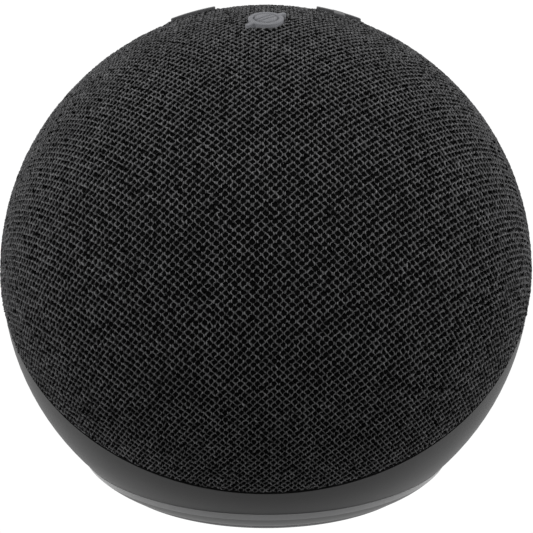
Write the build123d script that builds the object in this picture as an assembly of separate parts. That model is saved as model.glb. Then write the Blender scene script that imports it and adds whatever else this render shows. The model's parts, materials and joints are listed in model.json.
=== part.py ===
"""Ball-shaped smart home hub: a knit-covered speaker dome on a slanted plastic base with a light ring.

The origin is the middle of the foot on the surface that the hub stands on, +Z is up and the
talking side of the hub faces -Y.  All sizes are in millimetres.
"""
from build123d import *
import os
from math import cos, radians, sin, sqrt

# ---------------------------------------------------------------- overall form
BALL_R = 50.0               # outside of the stretched knit
BALL_LIFT = 0.78            # height of the ball's centre above the table, as a share of its radius
SEAM_TILT = 40.7            # degrees that the seam plane leans up toward the back
SEAM_OFFSET = 5.45          # seam plane's distance from the ball's centre, toward the dome
KNIT_T = 0.6                # thickness of the knit cover
DOME_T = 2.2                # wall of the perforated dome under the knit
KNIT_PROUD = 0.4            # how far the knit stands out past the lower housing
HOUSING_T = 2.4             # wall of the lower housing
SEAM_GROOVE_W = 0.75        # open shadow gap between knit and housing
SEAM_GROOVE_D = 0.9         # depth of that gap into the dome's edge
SKIRT_T = 1.5               # dome's inner skirt that centres it in the housing
SKIRT_DROP = 2.6            # how far the skirt reaches down into the housing
RUNNING = 0.05              # radial clearance of pieces that slide in or centre each other
FAR = 240.0                 # size of cutting blocks, larger than the hub
PAST = 1.0                  # how far a cut starts before the face that it opens
DIAGONAL = 45.0             # degrees, for pieces that sit between the four main directions

# ---------------------------------------------------------------- foot and light ring
FOOT_T = 1.05               # rubber foot's thickness
FOOT_IN = 5.4               # rim of the face that stands on the table, inward of the light ring's top
FOOT_TOP_IN = 4.55          # foot's flared upper edge, inward of the light ring's top
FOOT_LINE = 0.2             # dark line left open between foot and light ring
FOOT_BOND_IN = 5.3          # rim of the foot's glued face, inward of the light ring's top
FOOT_RECESS_R = 21.0        # shallow recess in the middle of the foot
FOOT_RECESS_D = 0.3
BASE_FLANGE_IN = 5.1        # base plate's clamping flange, inward of the light ring's top
BASE_FLANGE_T = 1.2
BASE_STEP_IN = 7.0          # base plate's raised middle, inward of the light ring's top
BASE_STEP_T = 1.0
RING_TOP_Z = 5.2            # upper edge of the light ring
RING_CREASE_Z = 3.65        # height of the crease in its visible face
RING_CREASE_IN = 0.88       # the crease, inward of the ring's top
RING_BELLY_Z = 2.25         # point on the curved face under the crease
RING_BELLY_IN = 2.35
RING_LOW_IN = 4.05          # lower edge of the curved face
RING_LIP_IN = 6.7           # inner edge of the lip that the base plate clamps
RING_LIP_T = 1.0
RING_WALL = 2.4             # wall of the diffuser at its upper edge
RING_SEAT_IN = 4.4          # where the diffuser's inner wall leaves the lip
GUIDE_IN = 6.45             # light guide's inner face, inward of the ring's top
GUIDE_T = 2.0               # light guide's width at the lip
GUIDE_GAP = 0.05            # between the light guide and the lamps

# ---------------------------------------------------------------- floor of the housing
FLOOR_Z = 9.6               # underside of the housing's floor
FLOOR_T = 1.6
PILLAR_R = 3.0              # pillars that the base plate is screwed to
PILLAR_CIRCLE = 18.5
PILLAR_COUNT = 4
CABLE_SLOT = (9.0, 2.4)     # opening in the floor for the light ring's ribbon

# ---------------------------------------------------------------- light board
BOARD_T = 1.2               # thickness of every circuit board
LED_BOARD_GAP = 1.7         # from the floor to the light board
LED_BOARD_INNER_IN = 13.8   # light board's inner edge, inward of the ring's top
LED_BOARD_OUTER_IN = 3.5
LED_COUNT = 12
LED_IN = 5.3                # circle of the lamps, inward of the ring's top
LED_SIZE = (2.8, 3.2, 0.8)
LED_SCREW_IN = 10.3
LED_SCREW_COUNT = 3
LED_SCREW_TURN = 15.0       # degrees that the light board's screws are turned from +X

# ---------------------------------------------------------------- keys
KEY_CIRCLE = 13.26          # keys' distance from the hub's axis
KEY_PROUD = 0.6             # keys' height above the knit
ACTION_PROUD = 0.4          # the round action key lies lower
KEY_TRAVEL = 0.35
KEY_GAP = 0.12              # clearance between a key and the hole in the dome
KNIT_KEY_GAP = 0.18         # clearance between a key and the edge of the knit
KEY_ROUND = 0.15            # rounding of the keys' upper edges
FLANGE_GROW = 1.0           # how far a key's flange reaches past its outline
FLANGE_T = 0.7
FLANGE_GAP = 0.15           # between the flange and the inside of the dome at rest
BAR_LENGTH = 8.05
BAR_WIDTH = 2.0
BAR_CORNER = 0.45
ROUND_KEY_R = 3.12
SLASH_LENGTH = 9.0
SLASH_WIDTH = 0.85
SLASH_TURN = 41.0
GROOVE_W = 0.32             # grooves that draw the ring and the slash on the mute key
GROOVE_D = 0.3
GROOVE_R = 2.1
POST_R = 1.1                # post under a key that presses its switch

# ---------------------------------------------------------------- key board
KEY_BOARD_RIM = 4.24        # key board's edge outward of the keys' circle
KEY_BOARD_ROOM = 0.8        # between the key board and the lowest point of a key's flange
KEY_BOARD_SCREW_OUT = 1.34  # key board's screws outward of the keys' circle
KEY_BOARD_PILOT = 2.0       # depth of the screw holes over the key board
SWITCH_SIZE = (3.5, 3.5, 1.3)
PLUNGER_R = 0.85
PLUNGER_H = 1.2
PLUNGER_TOP = 1.8           # top of a plunger above the key board
MIC_SIZE = (3.5, 2.65, 1.0)
MIC_CIRCLE = 6.4
MIC_COUNT = 3
MIC_TURN = 30.0
MIC_GASKET_R = 1.3
MIC_PORT_R = 0.5

# ---------------------------------------------------------------- speaker
SPEAKER_RISE = 3.5          # speaker's axis above the ball's centre
BAFFLE_Y = -24.8            # front of the baffle
BAFFLE_T = 2.5
BAFFLE_R = 31.0
BAFFLE_HOLE_R = 20.3
GASKET_T = 0.8
FLANGE_R = 24.0             # speaker's mounting flange
FLANGE_HOLE_R = 18.9
BASKET_T = 1.0
BASKET_DEPTH = 9.8          # from the mounting face to the top plate
BASKET_BACK_R = 15.0
BASKET_WINDOWS = 4
WINDOW_SPAN = 52.0          # degrees of each window in the basket
MAGNET_R = 15.0
MAGNET_T = 5.5
MAGNET_HOLE_R = 8.2
PLATE_R = 14.0
PLATE_T = 3.0
GAP_R = 7.6                 # hole of the top plate around the voice coil
POLE_R = 6.3
COIL_FORMER_R = 6.75
COIL_FORMER_T = 0.15
COIL_T = 0.45
COIL_H = 5.0
CONE_NECK_DEPTH = 4.5
CONE_EDGE_R = 16.4
CONE_EDGE_DEPTH = 0.2
PAPER_T = 0.5
DUST_CAP_RISE = 1.9
SURROUND_H = 1.7
SURROUND_T = 0.45
SURROUND_LAND = 0.9         # width of the flat glued to the basket
SPIDER_R = 13.4
SPIDER_DEPTH = 6.6
SPIDER_T = 0.4
SPIDER_WAVES = 3            # pressed rings of the spider
ENCLOSURE_R = 28.0
ENCLOSURE_T = 2.0
ENCLOSURE_DEPTH = 36.0
ENCLOSURE_FLANGE_T = 2.0
LEG_R = 3.0
LEG_X = 13.0
LEG_FRONT_Y = -13.0
LEG_BACK_IN = 6.7           # back legs' axes inward of the enclosure's back
BAFFLE_SCREW_CIRCLE = 28.9
BAFFLE_SCREW_COUNT = 6
SPEAKER_SCREW_CIRCLE = 22.0
SPEAKER_SCREW_COUNT = 4
SPEAKER_BOSS_R = 2.2
SPEAKER_BOSS_H = 4.0

# ---------------------------------------------------------------- grille holes
GRILLE_PITCH = 4.4
GRILLE_HOLE_R = 1.5
GRILLE_R = 20.5

# ---------------------------------------------------------------- main board and its cooling
MAIN_BOARD_W = 48.0
MAIN_BOARD_H = 44.0
MAIN_BOARD_STANDOFF = 4.0
MAIN_BOARD_CORNER = 4.0
MAIN_BOARD_HOLE = 16.0      # screw holes' offset from the board's middle, both ways
STANDOFF_R = 2.4
SHIELD_SIZE = (24.0, 2.2, 22.0)
SHIELD_WALL = 0.3
PAD_T = 0.6
PAD_SIDE = 18.0
HEAT_SINK_SIZE = (40.0, 1.5, 38.0)
FIN_COUNT = 7
FIN_T = 1.0
FIN_H = 4.5
CHIP_LIST = [               # x and z from the board's middle, width, depth, height
    (-17.5, 1.0, 7.0, 1.0, 7.0),
    (17.5, 1.0, 7.0, 1.0, 7.0),
    (5.5, -16.5, 9.0, 1.2, 6.0),
    (9.5, 15.5, 5.0, 0.9, 5.0),
    (-9.5, 15.5, 6.0, 1.0, 5.0),
]
ANTENNA_X = 19.5
ANTENNA_W = 8.0
ANTENNA_H = 4.4
ANTENNA_STANDOFF = 3.2
SHEET_T = 0.4               # bent sheet metal of the antennas

# ---------------------------------------------------------------- sockets at the back
PORT_DROP = 21.2            # sockets' axes below the ball's centre
PORT_FACE_IN = 10.0         # bottom of the socket recess, inward of the housing's outside
PORT_WALL = 1.6
PORT_RECESS_W = 24.0
PORT_RECESS_H = 10.0
PORT_RECESS_CORNER = 4.5
PORT_SPACING = 6.0          # each socket's distance from the middle of the recess
JACK_SIDE = 9.0
DC_BORE_R = 2.85
DC_BORE_L = 9.5
DC_PIN_R = 0.85
DC_PIN_L = 5.5
AUDIO_NECK_R = 2.6
AUDIO_BORE_R = 1.8
AUDIO_BORE_L = 11.0
JACK_LENGTH = 12.0
DC_OPENING_R = 3.4
PORT_BOARD = (26.0, 14.4)   # width and length of the socket board
PORT_BOARD_IN = 17.8        # socket board's front edge inward of the bottom of the recess

# ---------------------------------------------------------------- connectors and ribbons
RIBBON_T = 0.3
RIBBON_BEND = 2.4
RIBBON_CONNECTOR_T = 1.5
KEY_RIBBON_W = 8.0
LED_RIBBON_W = 6.0
LED_RIBBON_X = 8.0
PORT_RIBBON_W = 6.0
PORT_RIBBON_X = -4.6
LEAD_R = 0.5
LEAD_SPACING = 1.3
LEAD_X = 18.0
LEAD_DROP = 11.5            # speaker's wires below the speaker's axis
LEAD_BEND = 2.6
LEAD_JOG_Y = (0.0, 5.2)     # where the speaker's wires step down inside the enclosure
PLUG_GROW = 2.0             # a connector's width past its ribbon
MAIN_PLUG_H = 4.0           # length of the connectors on the main board
KEY_PLUG_BACK = 7.95        # key board's connector in front of the ribbon's upright run
KEY_PLUG_L = 4.0
LED_PLUG_OUT = 1.5          # light board's connector outward of the board's inner edge
LED_PLUG_L = 3.0
PORT_PLUG_SETBACK = 1.2     # socket board's connector behind the board's front edge
PORT_PLUG_L = 2.6
TERMINAL_SIZE = (4.5, 1.2, 5.0)
TERMINAL_DROP = 10.0        # speaker terminal below the speaker's axis
TERMINAL_EDGE = 1.0         # terminal's edge inward of the wires

# ---------------------------------------------------------------- screws
SCREW_R = 1.1               # thread-forming screws of the housing
SCREW_HEAD_R = 2.1
SCREW_HEAD_H = 1.2
SMALL_SCREW_R = 0.8         # screws of boards and speaker
SMALL_HEAD_R = 1.6
SMALL_HEAD_H = 0.9
SCREW_HOLE_GAP = 0.2
DOME_SCREW_IN = 2.3         # dome's screws inward of the housing's inside
DOME_SCREW_COUNT = 4
DOME_BOSS_R = 2.7
DOME_BOSS_H = 6.0
DOME_SCREW_BITE = 4.0       # how far a dome screw goes into the dome's boss
BASE_SCREW_SHORT = 1.0      # how far a base screw ends under the floor
KEY_SCREW_BITE = 2.0        # how far a key board screw goes into the dome
LEG_SCREW_BITE = 4.0        # how far an enclosure screw goes into its leg

# ---------------------------------------------------------------- values that follow from the above
BALL_Z = BALL_LIFT * BALL_R
CENTRE = Vector(0, 0, BALL_Z)
SEAM_NORMAL = Vector(0, -sin(radians(SEAM_TILT)), cos(radians(SEAM_TILT)))
DOME_R = BALL_R - KNIT_T
DOME_INNER_R = DOME_R - DOME_T
HOUSING_R = BALL_R - KNIT_PROUD
HOUSING_INNER_R = HOUSING_R - HOUSING_T
RING_TOP_R = sqrt(HOUSING_R ** 2 - (BALL_Z - RING_TOP_Z) ** 2)
FOOT_R = RING_TOP_R - FOOT_IN
FOOT_TOP_R = RING_TOP_R - FOOT_TOP_IN
FOOT_BOND_R = RING_TOP_R - FOOT_BOND_IN
BASE_FLANGE_R = RING_TOP_R - BASE_FLANGE_IN
BASE_STEP_R = RING_TOP_R - BASE_STEP_IN
RING_LIP_R = RING_TOP_R - RING_LIP_IN
GUIDE_R = RING_TOP_R - GUIDE_IN
LED_BOARD_INNER_R = RING_TOP_R - LED_BOARD_INNER_IN
LED_CIRCLE = RING_TOP_R - LED_IN
LED_SCREW_CIRCLE = RING_TOP_R - LED_SCREW_IN
DOME_SCREW_CIRCLE = HOUSING_INNER_R - DOME_SCREW_IN
KNIT_EDGE = SEAM_OFFSET + SEAM_GROOVE_W
FLANGE_OUTER_R = DOME_INNER_R - FLANGE_GAP
FLANGE_INNER_R = FLANGE_OUTER_R - FLANGE_T
BASE_FLANGE_Z = FOOT_T + BASE_FLANGE_T
BASE_TOP = BASE_FLANGE_Z + BASE_STEP_T
LIP_TOP = BASE_FLANGE_Z + RING_LIP_T
FLOOR_TOP = FLOOR_Z + FLOOR_T
LED_BOARD_TOP = FLOOR_Z - LED_BOARD_GAP
LED_BOARD_Z = LED_BOARD_TOP - BOARD_T
FLANGE_REACH = KEY_CIRCLE + BAR_LENGTH / 2 + FLANGE_GROW
KEY_BOARD_TOP = BALL_Z + sqrt(FLANGE_INNER_R ** 2 - FLANGE_REACH ** 2) - KEY_BOARD_ROOM
KEY_BOARD_Z = KEY_BOARD_TOP - BOARD_T
KEY_BOARD_SCREW_CIRCLE = KEY_CIRCLE + KEY_BOARD_SCREW_OUT
SPEAKER_Z = BALL_Z + SPEAKER_RISE
SPEAKER_FACE_Y = BAFFLE_Y - GASKET_T
ENCLOSURE_FRONT_Y = BAFFLE_Y + BAFFLE_T
ENCLOSURE_BACK_Y = ENCLOSURE_FRONT_Y + ENCLOSURE_DEPTH
LEG_PLACES = [(x, y) for x in (-LEG_X, LEG_X) for y in (LEG_FRONT_Y, ENCLOSURE_BACK_Y - LEG_BACK_IN)]
MAIN_BOARD_Y = ENCLOSURE_BACK_Y + MAIN_BOARD_STANDOFF
MAIN_BOARD_BACK_Y = MAIN_BOARD_Y + BOARD_T
HEAT_SINK_Y = MAIN_BOARD_BACK_Y + SHIELD_SIZE[1] + PAD_T
PORT_Z = BALL_Z - PORT_DROP
PORT_FACE_Y = HOUSING_R - PORT_FACE_IN
PORT_BOARD_FRONT_Y = PORT_FACE_Y - PORT_BOARD_IN
JACK_FACE_Y = PORT_FACE_Y - PORT_WALL
PORT_BOARD_TOP = PORT_Z - JACK_SIDE / 2
PORT_BOARD_Z = PORT_BOARD_TOP - BOARD_T
CONE_NECK_R = COIL_FORMER_R + COIL_FORMER_T
KEY_RIBBON_TOP = KEY_BOARD_Z - RIBBON_CONNECTOR_T / 2
MAIN_BOARD_TOP = SPEAKER_Z + MAIN_BOARD_H / 2
MAIN_BOARD_LOW = SPEAKER_Z - MAIN_BOARD_H / 2
FRONT_RIBBON_Y = MAIN_BOARD_Y - RIBBON_CONNECTOR_T / 2
KEY_PLUG_Y = (FRONT_RIBBON_Y - KEY_PLUG_BACK - KEY_PLUG_L, FRONT_RIBBON_Y - KEY_PLUG_BACK)
BACK_RIBBON_Y = MAIN_BOARD_BACK_Y + RIBBON_CONNECTOR_T / 2
LED_PLUG_H = LED_BOARD_GAP * 2 / 3
LED_RIBBON_LOW = LED_BOARD_TOP + LED_PLUG_H / 2
PORT_PLUG_Y = PORT_BOARD_FRONT_Y + PORT_PLUG_SETBACK
PORT_RIBBON_LOW = PORT_BOARD_TOP + RIBBON_CONNECTOR_T / 2
TERMINAL_Y = BAFFLE_Y + BAFFLE_T
ON_BOARD = (Align.CENTER, Align.MIN, Align.CENTER)
TERMINAL_Z = SPEAKER_Z - TERMINAL_DROP
LEAD_Z = SPEAKER_Z - LEAD_DROP
LED_PLUG_Y = (LED_BOARD_INNER_R + LED_PLUG_OUT, LED_BOARD_INNER_R + LED_PLUG_OUT + LED_PLUG_L)


# ================================================================ helpers
def ball(radius):
    """A solid ball about the hub's centre."""
    return Pos(0, 0, BALL_Z) * Sphere(radius)


def seam_plane(offset):
    """The plane parallel to the seam at a distance from the ball's centre."""
    return Plane(origin=CENTRE + SEAM_NORMAL * offset, z_dir=SEAM_NORMAL)


def dome_side(offset):
    """Everything on the dome's side of a plane parallel to the seam."""
    block = Box(FAR, FAR, FAR, align=(Align.CENTER, Align.CENTER, Align.MIN))
    return seam_plane(offset) * block


def upright(x, y, low, high, radius):
    """A vertical round bar between two heights."""
    bar = Cylinder(radius, high - low, align=(Align.CENTER, Align.CENTER, Align.MIN))
    return Pos(x, y, low) * bar


def block(x_range, y_range, z_range):
    """A box given by its lowest and highest coordinates."""
    size = [high - low for low, high in (x_range, y_range, z_range)]
    box = Box(*size, align=(Align.MIN, Align.MIN, Align.MIN))
    return Pos(x_range[0], y_range[0], z_range[0]) * box


def turned(points):
    """A ring turned about the Z axis from (radius, height) points."""
    outline = Polyline(*points, close=True)
    return revolve(Plane.XZ * make_face(outline), Axis.Z)


def around(count, radius, turn=0.0):
    """Points spread evenly on a circle, as (x, y, angle)."""
    angles = [turn + 360.0 * i / count for i in range(count)]
    return [(radius * cos(radians(a)), radius * sin(radians(a)), a) for a in angles]


def facing_front(x, y, z):
    """A placement whose own +Z points out of the front of the hub."""
    return Pos(x, y, z) * Rot(90, 0, 0)


def facing_back(x, y, z):
    """A placement whose own +Z points out of the back of the hub."""
    return Pos(x, y, z) * Rot(-90, 0, 0)


def screw(length, radius, head_r, head_h):
    """A pan-head screw whose shank runs down from z = 0 and whose head stands on it."""
    shank = Cylinder(radius, length, align=(Align.CENTER, Align.CENTER, Align.MAX))
    head = Cylinder(head_r, head_h, align=(Align.CENTER, Align.CENTER, Align.MIN))
    rim = head.edges().group_by(Axis.Z)[-1]
    head = fillet(rim, head_h / 3)
    cross = Box(head_r, head_r / 4, head_h, align=(Align.CENTER, Align.CENTER, Align.MIN))
    drive = Pos(0, 0, head_h / 2) * (cross + Rot(0, 0, 90) * cross)
    return shank + head - drive


def small_screw(length):
    """A screw for boards and the speaker."""
    return screw(length, SMALL_SCREW_R, SMALL_HEAD_R, SMALL_HEAD_H)


def housing_screw(length):
    """A screw for the plastic shells."""
    return screw(length, SCREW_R, SCREW_HEAD_R, SCREW_HEAD_H)


def small_screw_hole(x, y, low, high):
    """A clearance hole for a small screw through a plate between two heights."""
    return upright(x, y, low - PAST, high + PAST, SMALL_SCREW_R + SCREW_HOLE_GAP)


# ================================================================ keys
def bar_outline(grow):
    """A minus sign, grown all round."""
    width = BAR_WIDTH + 2 * grow
    return RectangleRounded(BAR_LENGTH + 2 * grow, width, BAR_CORNER + grow)


def plus_outline(grow):
    """A plus sign, grown all round."""
    return bar_outline(grow) + Rot(0, 0, 90) * bar_outline(grow)


def dot_outline(grow):
    """The round action key, grown all round."""
    return Sketch() + Circle(ROUND_KEY_R + grow)


def mute_outline(grow):
    """A circle crossed by a slash that stands out of it at both ends, grown all round."""
    length = SLASH_LENGTH + 2 * grow
    slash = RectangleRounded(length, SLASH_WIDTH + 2 * grow, SLASH_WIDTH / 3 + grow)
    return Circle(ROUND_KEY_R + grow) + Rot(0, 0, SLASH_TURN) * slash


def mute_flange_outline(grow):
    """The mute key's flange is a plain disc as wide as the slash."""
    return Sketch() + Circle(SLASH_LENGTH / 2 + grow / 2)


KEYS = {                    # node name: (x, y, outline, flange outline, height above the knit)
    "mute": (0.0, -KEY_CIRCLE, mute_outline, mute_flange_outline, KEY_PROUD),
    "volume_down": (-KEY_CIRCLE, 0.0, bar_outline, bar_outline, KEY_PROUD),
    "volume_up": (KEY_CIRCLE, 0.0, plus_outline, plus_outline, KEY_PROUD),
    "action": (0.0, KEY_CIRCLE, dot_outline, dot_outline, ACTION_PROUD),
}


def key_prism(x, y, outline, low=BALL_Z):
    """A key outline drawn upward through the top of the ball."""
    return Pos(x, y, low) * extrude(outline, FAR / 2)


def mute_grooves():
    """Grooves that leave a ring and a slash standing on the mute key."""
    ring = Circle(GROOVE_R + GROOVE_W / 2) - Circle(GROOVE_R - GROOVE_W / 2)
    shift = SLASH_WIDTH / 2
    line = Rectangle(2 * GROOVE_R, GROOVE_W)
    lines = Rot(0, 0, SLASH_TURN) * (Pos(0, shift) * line + Pos(0, -shift) * line)
    return ring + lines


def make_key(name):
    """One key: a cap through dome and knit, a flange behind the dome and a post to its switch."""
    x, y, outline, flange_outline, proud = KEYS[name]
    cap = key_prism(x, y, outline(0)) & (ball(BALL_R + proud) - ball(FLANGE_INNER_R))
    upper = cap.faces().sort_by(Axis.Z)[-1]
    cap = fillet(upper.edges(), KEY_ROUND)
    if name == "mute":
        cut = key_prism(x, y, mute_grooves()) - ball(BALL_R + proud - GROOVE_D)
        cap = cap - cut
    layer = ball(FLANGE_OUTER_R) - ball(FLANGE_INNER_R)
    flange = key_prism(x, y, flange_outline(FLANGE_GROW)) & layer
    post = upright(x, y, KEY_BOARD_TOP + PLUNGER_TOP, BALL_Z + FLANGE_OUTER_R, POST_R)
    post = post & ball(FLANGE_OUTER_R)
    return cap + flange + post


def make_plunger(name):
    """The part of a tactile switch that goes down with its key."""
    x, y = KEYS[name][:2]
    top = KEY_BOARD_TOP + PLUNGER_TOP
    return upright(x, y, top - PLUNGER_H, top, PLUNGER_R)


# ================================================================ knit, dome and housing
def make_knit_cover():
    """The knit stretched over the dome, with an opening for each key."""
    skin = (ball(BALL_R) - ball(DOME_R)) & dome_side(KNIT_EDGE)
    for x, y, outline, _, _ in KEYS.values():
        skin = skin - key_prism(x, y, outline(KNIT_KEY_GAP))
    return skin


def grille_points():
    """Places of the sound holes, in rows offset by half a pitch."""
    row_step = GRILLE_PITCH * sqrt(3) / 2
    reach = int(GRILLE_R / row_step) + 1
    places = []
    for row in range(-reach, reach + 1):
        shift = GRILLE_PITCH / 2 * (row % 2)
        for column in range(-reach - 1, reach + 2):
            x = column * GRILLE_PITCH + shift
            z = row * row_step
            if x * x + z * z <= GRILLE_R * GRILLE_R:
                places.append((x, z))
    return places


def dome_screw_places():
    """Places of the dome's screws in the seam plane."""
    return [(x, y) for x, y, _ in around(DOME_SCREW_COUNT, DOME_SCREW_CIRCLE, DIAGONAL)]


def make_grille_dome():
    """The perforated shell under the knit, with its skirt, bosses and key openings."""
    wall = (ball(DOME_R) - ball(DOME_INNER_R)) & dome_side(SEAM_OFFSET)
    edge = ball(DOME_R + KNIT_T) - ball(DOME_R - SEAM_GROOVE_D)
    wall = wall - (edge & (dome_side(SEAM_OFFSET) - dome_side(KNIT_EDGE)))
    skirt_r = HOUSING_INNER_R - RUNNING
    skirt = (ball(skirt_r) - ball(skirt_r - SKIRT_T)) & dome_side(SEAM_OFFSET - SKIRT_DROP)
    skirt = skirt - dome_side(SEAM_OFFSET)
    root = (ball(DOME_INNER_R + DOME_T / 3) - ball(skirt_r - SKIRT_T)) & dome_side(SEAM_OFFSET)
    shell = wall + skirt + (root - dome_side(SEAM_OFFSET + SKIRT_T))
    boss = Cylinder(DOME_BOSS_R, DOME_BOSS_H, align=(Align.CENTER, Align.CENTER, Align.MIN))
    room = Cylinder(DOME_BOSS_R + SCREW_HOLE_GAP, FAR, align=(Align.CENTER, Align.CENTER, Align.MAX))
    pilot = Cylinder(SCREW_R, DOME_BOSS_H - PAST, align=(Align.CENTER, Align.CENTER, Align.MIN))
    inside = ball(DOME_INNER_R + DOME_T / 2)
    for u, v in dome_screw_places():
        place = seam_plane(SEAM_OFFSET) * Pos(u, v)
        shell = shell + ((place * boss) & inside) - place * room - place * pilot
    for x, y, _ in around(len(KEYS), KEY_BOARD_SCREW_CIRCLE, DIAGONAL):
        post = upright(x, y, KEY_BOARD_TOP, BALL_Z + DOME_R, STANDOFF_R) & inside
        pilot_hole = upright(x, y, KEY_BOARD_TOP - PAST, KEY_BOARD_TOP + KEY_BOARD_PILOT, SMALL_SCREW_R)
        shell = shell + post - pilot_hole
    for x, y, outline, _, _ in KEYS.values():
        shell = shell - key_prism(x, y, outline(KEY_GAP))
    for x, y, _ in around(MIC_COUNT, MIC_CIRCLE, MIC_TURN):
        shell = shell - upright(x, y, BALL_Z, BALL_Z + FAR / 2, MIC_PORT_R)
    bars = [facing_front(x, BAFFLE_Y, SPEAKER_Z + z) * Cylinder(
        GRILLE_HOLE_R, FAR / 2, align=(Align.CENTER, Align.CENTER, Align.MIN)) for x, z in grille_points()]
    return shell - bars


def recess_block(grow, low_y, high_y):
    """The rounded socket recess as a block, grown all round."""
    outline = RectangleRounded(
        PORT_RECESS_W + 2 * grow, PORT_RECESS_H + 2 * grow, PORT_RECESS_CORNER + grow)
    return facing_back(0, low_y, PORT_Z) * extrude(outline, high_y - low_y)


def make_lower_housing():
    """The smooth bowl under the seam, with its floor, pillars, bosses and socket recess."""
    bowl = (ball(HOUSING_R) - ball(HOUSING_INNER_R)) - dome_side(SEAM_OFFSET)
    bowl = bowl & block((-FAR, FAR), (-FAR, FAR), (RING_TOP_Z, FAR))
    middle = HOUSING_R - HOUSING_T / 2
    floor = upright(0, 0, FLOOR_Z, FLOOR_TOP, HOUSING_R) & ball(middle)
    floor = floor - dome_side(SEAM_OFFSET - SKIRT_DROP - SCREW_HOLE_GAP)
    slot_w, slot_t = CABLE_SLOT
    slot_y = FRONT_RIBBON_Y
    slot = block((LED_RIBBON_X - slot_w / 2, LED_RIBBON_X + slot_w / 2),
                 (slot_y - slot_t / 2, slot_y + slot_t / 2), (FLOOR_Z - PAST, FLOOR_TOP + PAST))
    bowl = bowl + (floor - slot)
    recess_wall = recess_block(PORT_WALL, JACK_FACE_Y, PORT_FACE_Y + PORT_RECESS_H) & ball(middle)
    bowl = bowl + recess_wall - recess_block(0, PORT_FACE_Y, FAR)
    for x, radius in ((-PORT_SPACING, DC_OPENING_R), (PORT_SPACING, AUDIO_NECK_R + RUNNING)):
        bowl = bowl - facing_back(x, JACK_FACE_Y - PAST, PORT_Z) * Cylinder(
            radius, PORT_WALL + 2 * PAST, align=(Align.CENTER, Align.CENTER, Align.MIN))
    for x, y, _ in around(PILLAR_COUNT, PILLAR_CIRCLE):
        bowl = bowl + upright(x, y, BASE_TOP, FLOOR_Z + FLOOR_T / 2, PILLAR_R)
        bowl = bowl - upright(x, y, BASE_TOP - PAST, FLOOR_Z, SCREW_R)
    for x, y, _ in around(LED_SCREW_COUNT, LED_SCREW_CIRCLE, LED_SCREW_TURN):
        bowl = bowl + upright(x, y, LED_BOARD_TOP, FLOOR_Z + FLOOR_T / 2, STANDOFF_R)
        bowl = bowl - upright(x, y, LED_BOARD_TOP - PAST, FLOOR_Z + FLOOR_T / 2, SMALL_SCREW_R)
    for x, y in LEG_PLACES:
        bowl = bowl - upright(x, y, FLOOR_Z - PAST, FLOOR_TOP + PAST, SCREW_R + SCREW_HOLE_GAP)
    for x, y in port_board_screw_places():
        bowl = bowl + upright(x, y, FLOOR_Z + FLOOR_T / 2, PORT_BOARD_Z, STANDOFF_R)
        bowl = bowl - upright(x, y, FLOOR_Z + FLOOR_T / 2, PORT_BOARD_Z + PAST, SMALL_SCREW_R)
    boss = Cylinder(DOME_BOSS_R, DOME_BOSS_H, align=(Align.CENTER, Align.CENTER, Align.MAX))
    hole = Cylinder(SCREW_R + SCREW_HOLE_GAP, 2 * (DOME_BOSS_H + PAST))
    for u, v in dome_screw_places():
        place = seam_plane(SEAM_OFFSET) * Pos(u, v)
        bowl = bowl + ((place * boss) & ball(middle)) - place * hole
    return bowl


def make_dome_screws():
    """Screws that pull the dome down onto the housing, put in from below."""
    one = Rot(180, 0, 0) * housing_screw(DOME_BOSS_H + DOME_SCREW_BITE)
    return [seam_plane(SEAM_OFFSET - DOME_BOSS_H) * Pos(u, v) * one for u, v in dome_screw_places()]


# ================================================================ foot, base plate and light ring
def make_rubber_foot():
    """The rubber pad that the hub stands on."""
    rim_top = FOOT_T - FOOT_LINE
    pad = turned([(0, 0), (FOOT_R, 0), (FOOT_TOP_R, rim_top), (FOOT_BOND_R, rim_top),
                  (FOOT_BOND_R, FOOT_T), (0, FOOT_T)])
    return pad - upright(0, 0, -PAST, FOOT_RECESS_D, FOOT_RECESS_R)


def make_base_plate():
    """The plate that clamps the light ring and carries the foot."""
    plate = upright(0, 0, FOOT_T, BASE_FLANGE_Z, BASE_FLANGE_R)
    plate = plate + upright(0, 0, BASE_FLANGE_Z, BASE_TOP, BASE_STEP_R)
    for x, y, _ in around(PILLAR_COUNT, PILLAR_CIRCLE):
        plate = plate - upright(x, y, FOOT_T - PAST, FOOT_T + SCREW_HEAD_H, SCREW_HEAD_R + SCREW_HOLE_GAP)
        plate = plate - upright(x, y, FOOT_T, BASE_TOP + PAST, SCREW_R + SCREW_HOLE_GAP)
    return plate


def make_base_screws():
    """Screws from under the base plate up into the housing's pillars."""
    one = Rot(180, 0, 0) * housing_screw(FLOOR_Z - FOOT_T - SCREW_HEAD_H - BASE_SCREW_SHORT)
    return [Pos(x, y, FOOT_T + SCREW_HEAD_H) * one for x, y, _ in around(PILLAR_COUNT, PILLAR_CIRCLE)]


def make_light_ring():
    """The milky diffuser between housing and foot."""
    crease = (RING_TOP_R - RING_CREASE_IN, RING_CREASE_Z)
    foot_edge = (RING_TOP_R - RING_LOW_IN, FOOT_T)
    inner_r = BASE_FLANGE_R + RUNNING
    belly = ThreePointArc(crease, (RING_TOP_R - RING_BELLY_IN, RING_BELLY_Z), foot_edge)
    rest = Polyline(foot_edge, (inner_r, FOOT_T), (inner_r, BASE_FLANGE_Z),
                    (RING_LIP_R, BASE_FLANGE_Z), (RING_LIP_R, LIP_TOP),
                    (RING_TOP_R - RING_SEAT_IN, LIP_TOP),
                    (RING_TOP_R - RING_WALL, RING_TOP_Z), (RING_TOP_R, RING_TOP_Z), crease)
    return revolve(Plane.XZ * make_face(belly + rest), Axis.Z)


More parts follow.
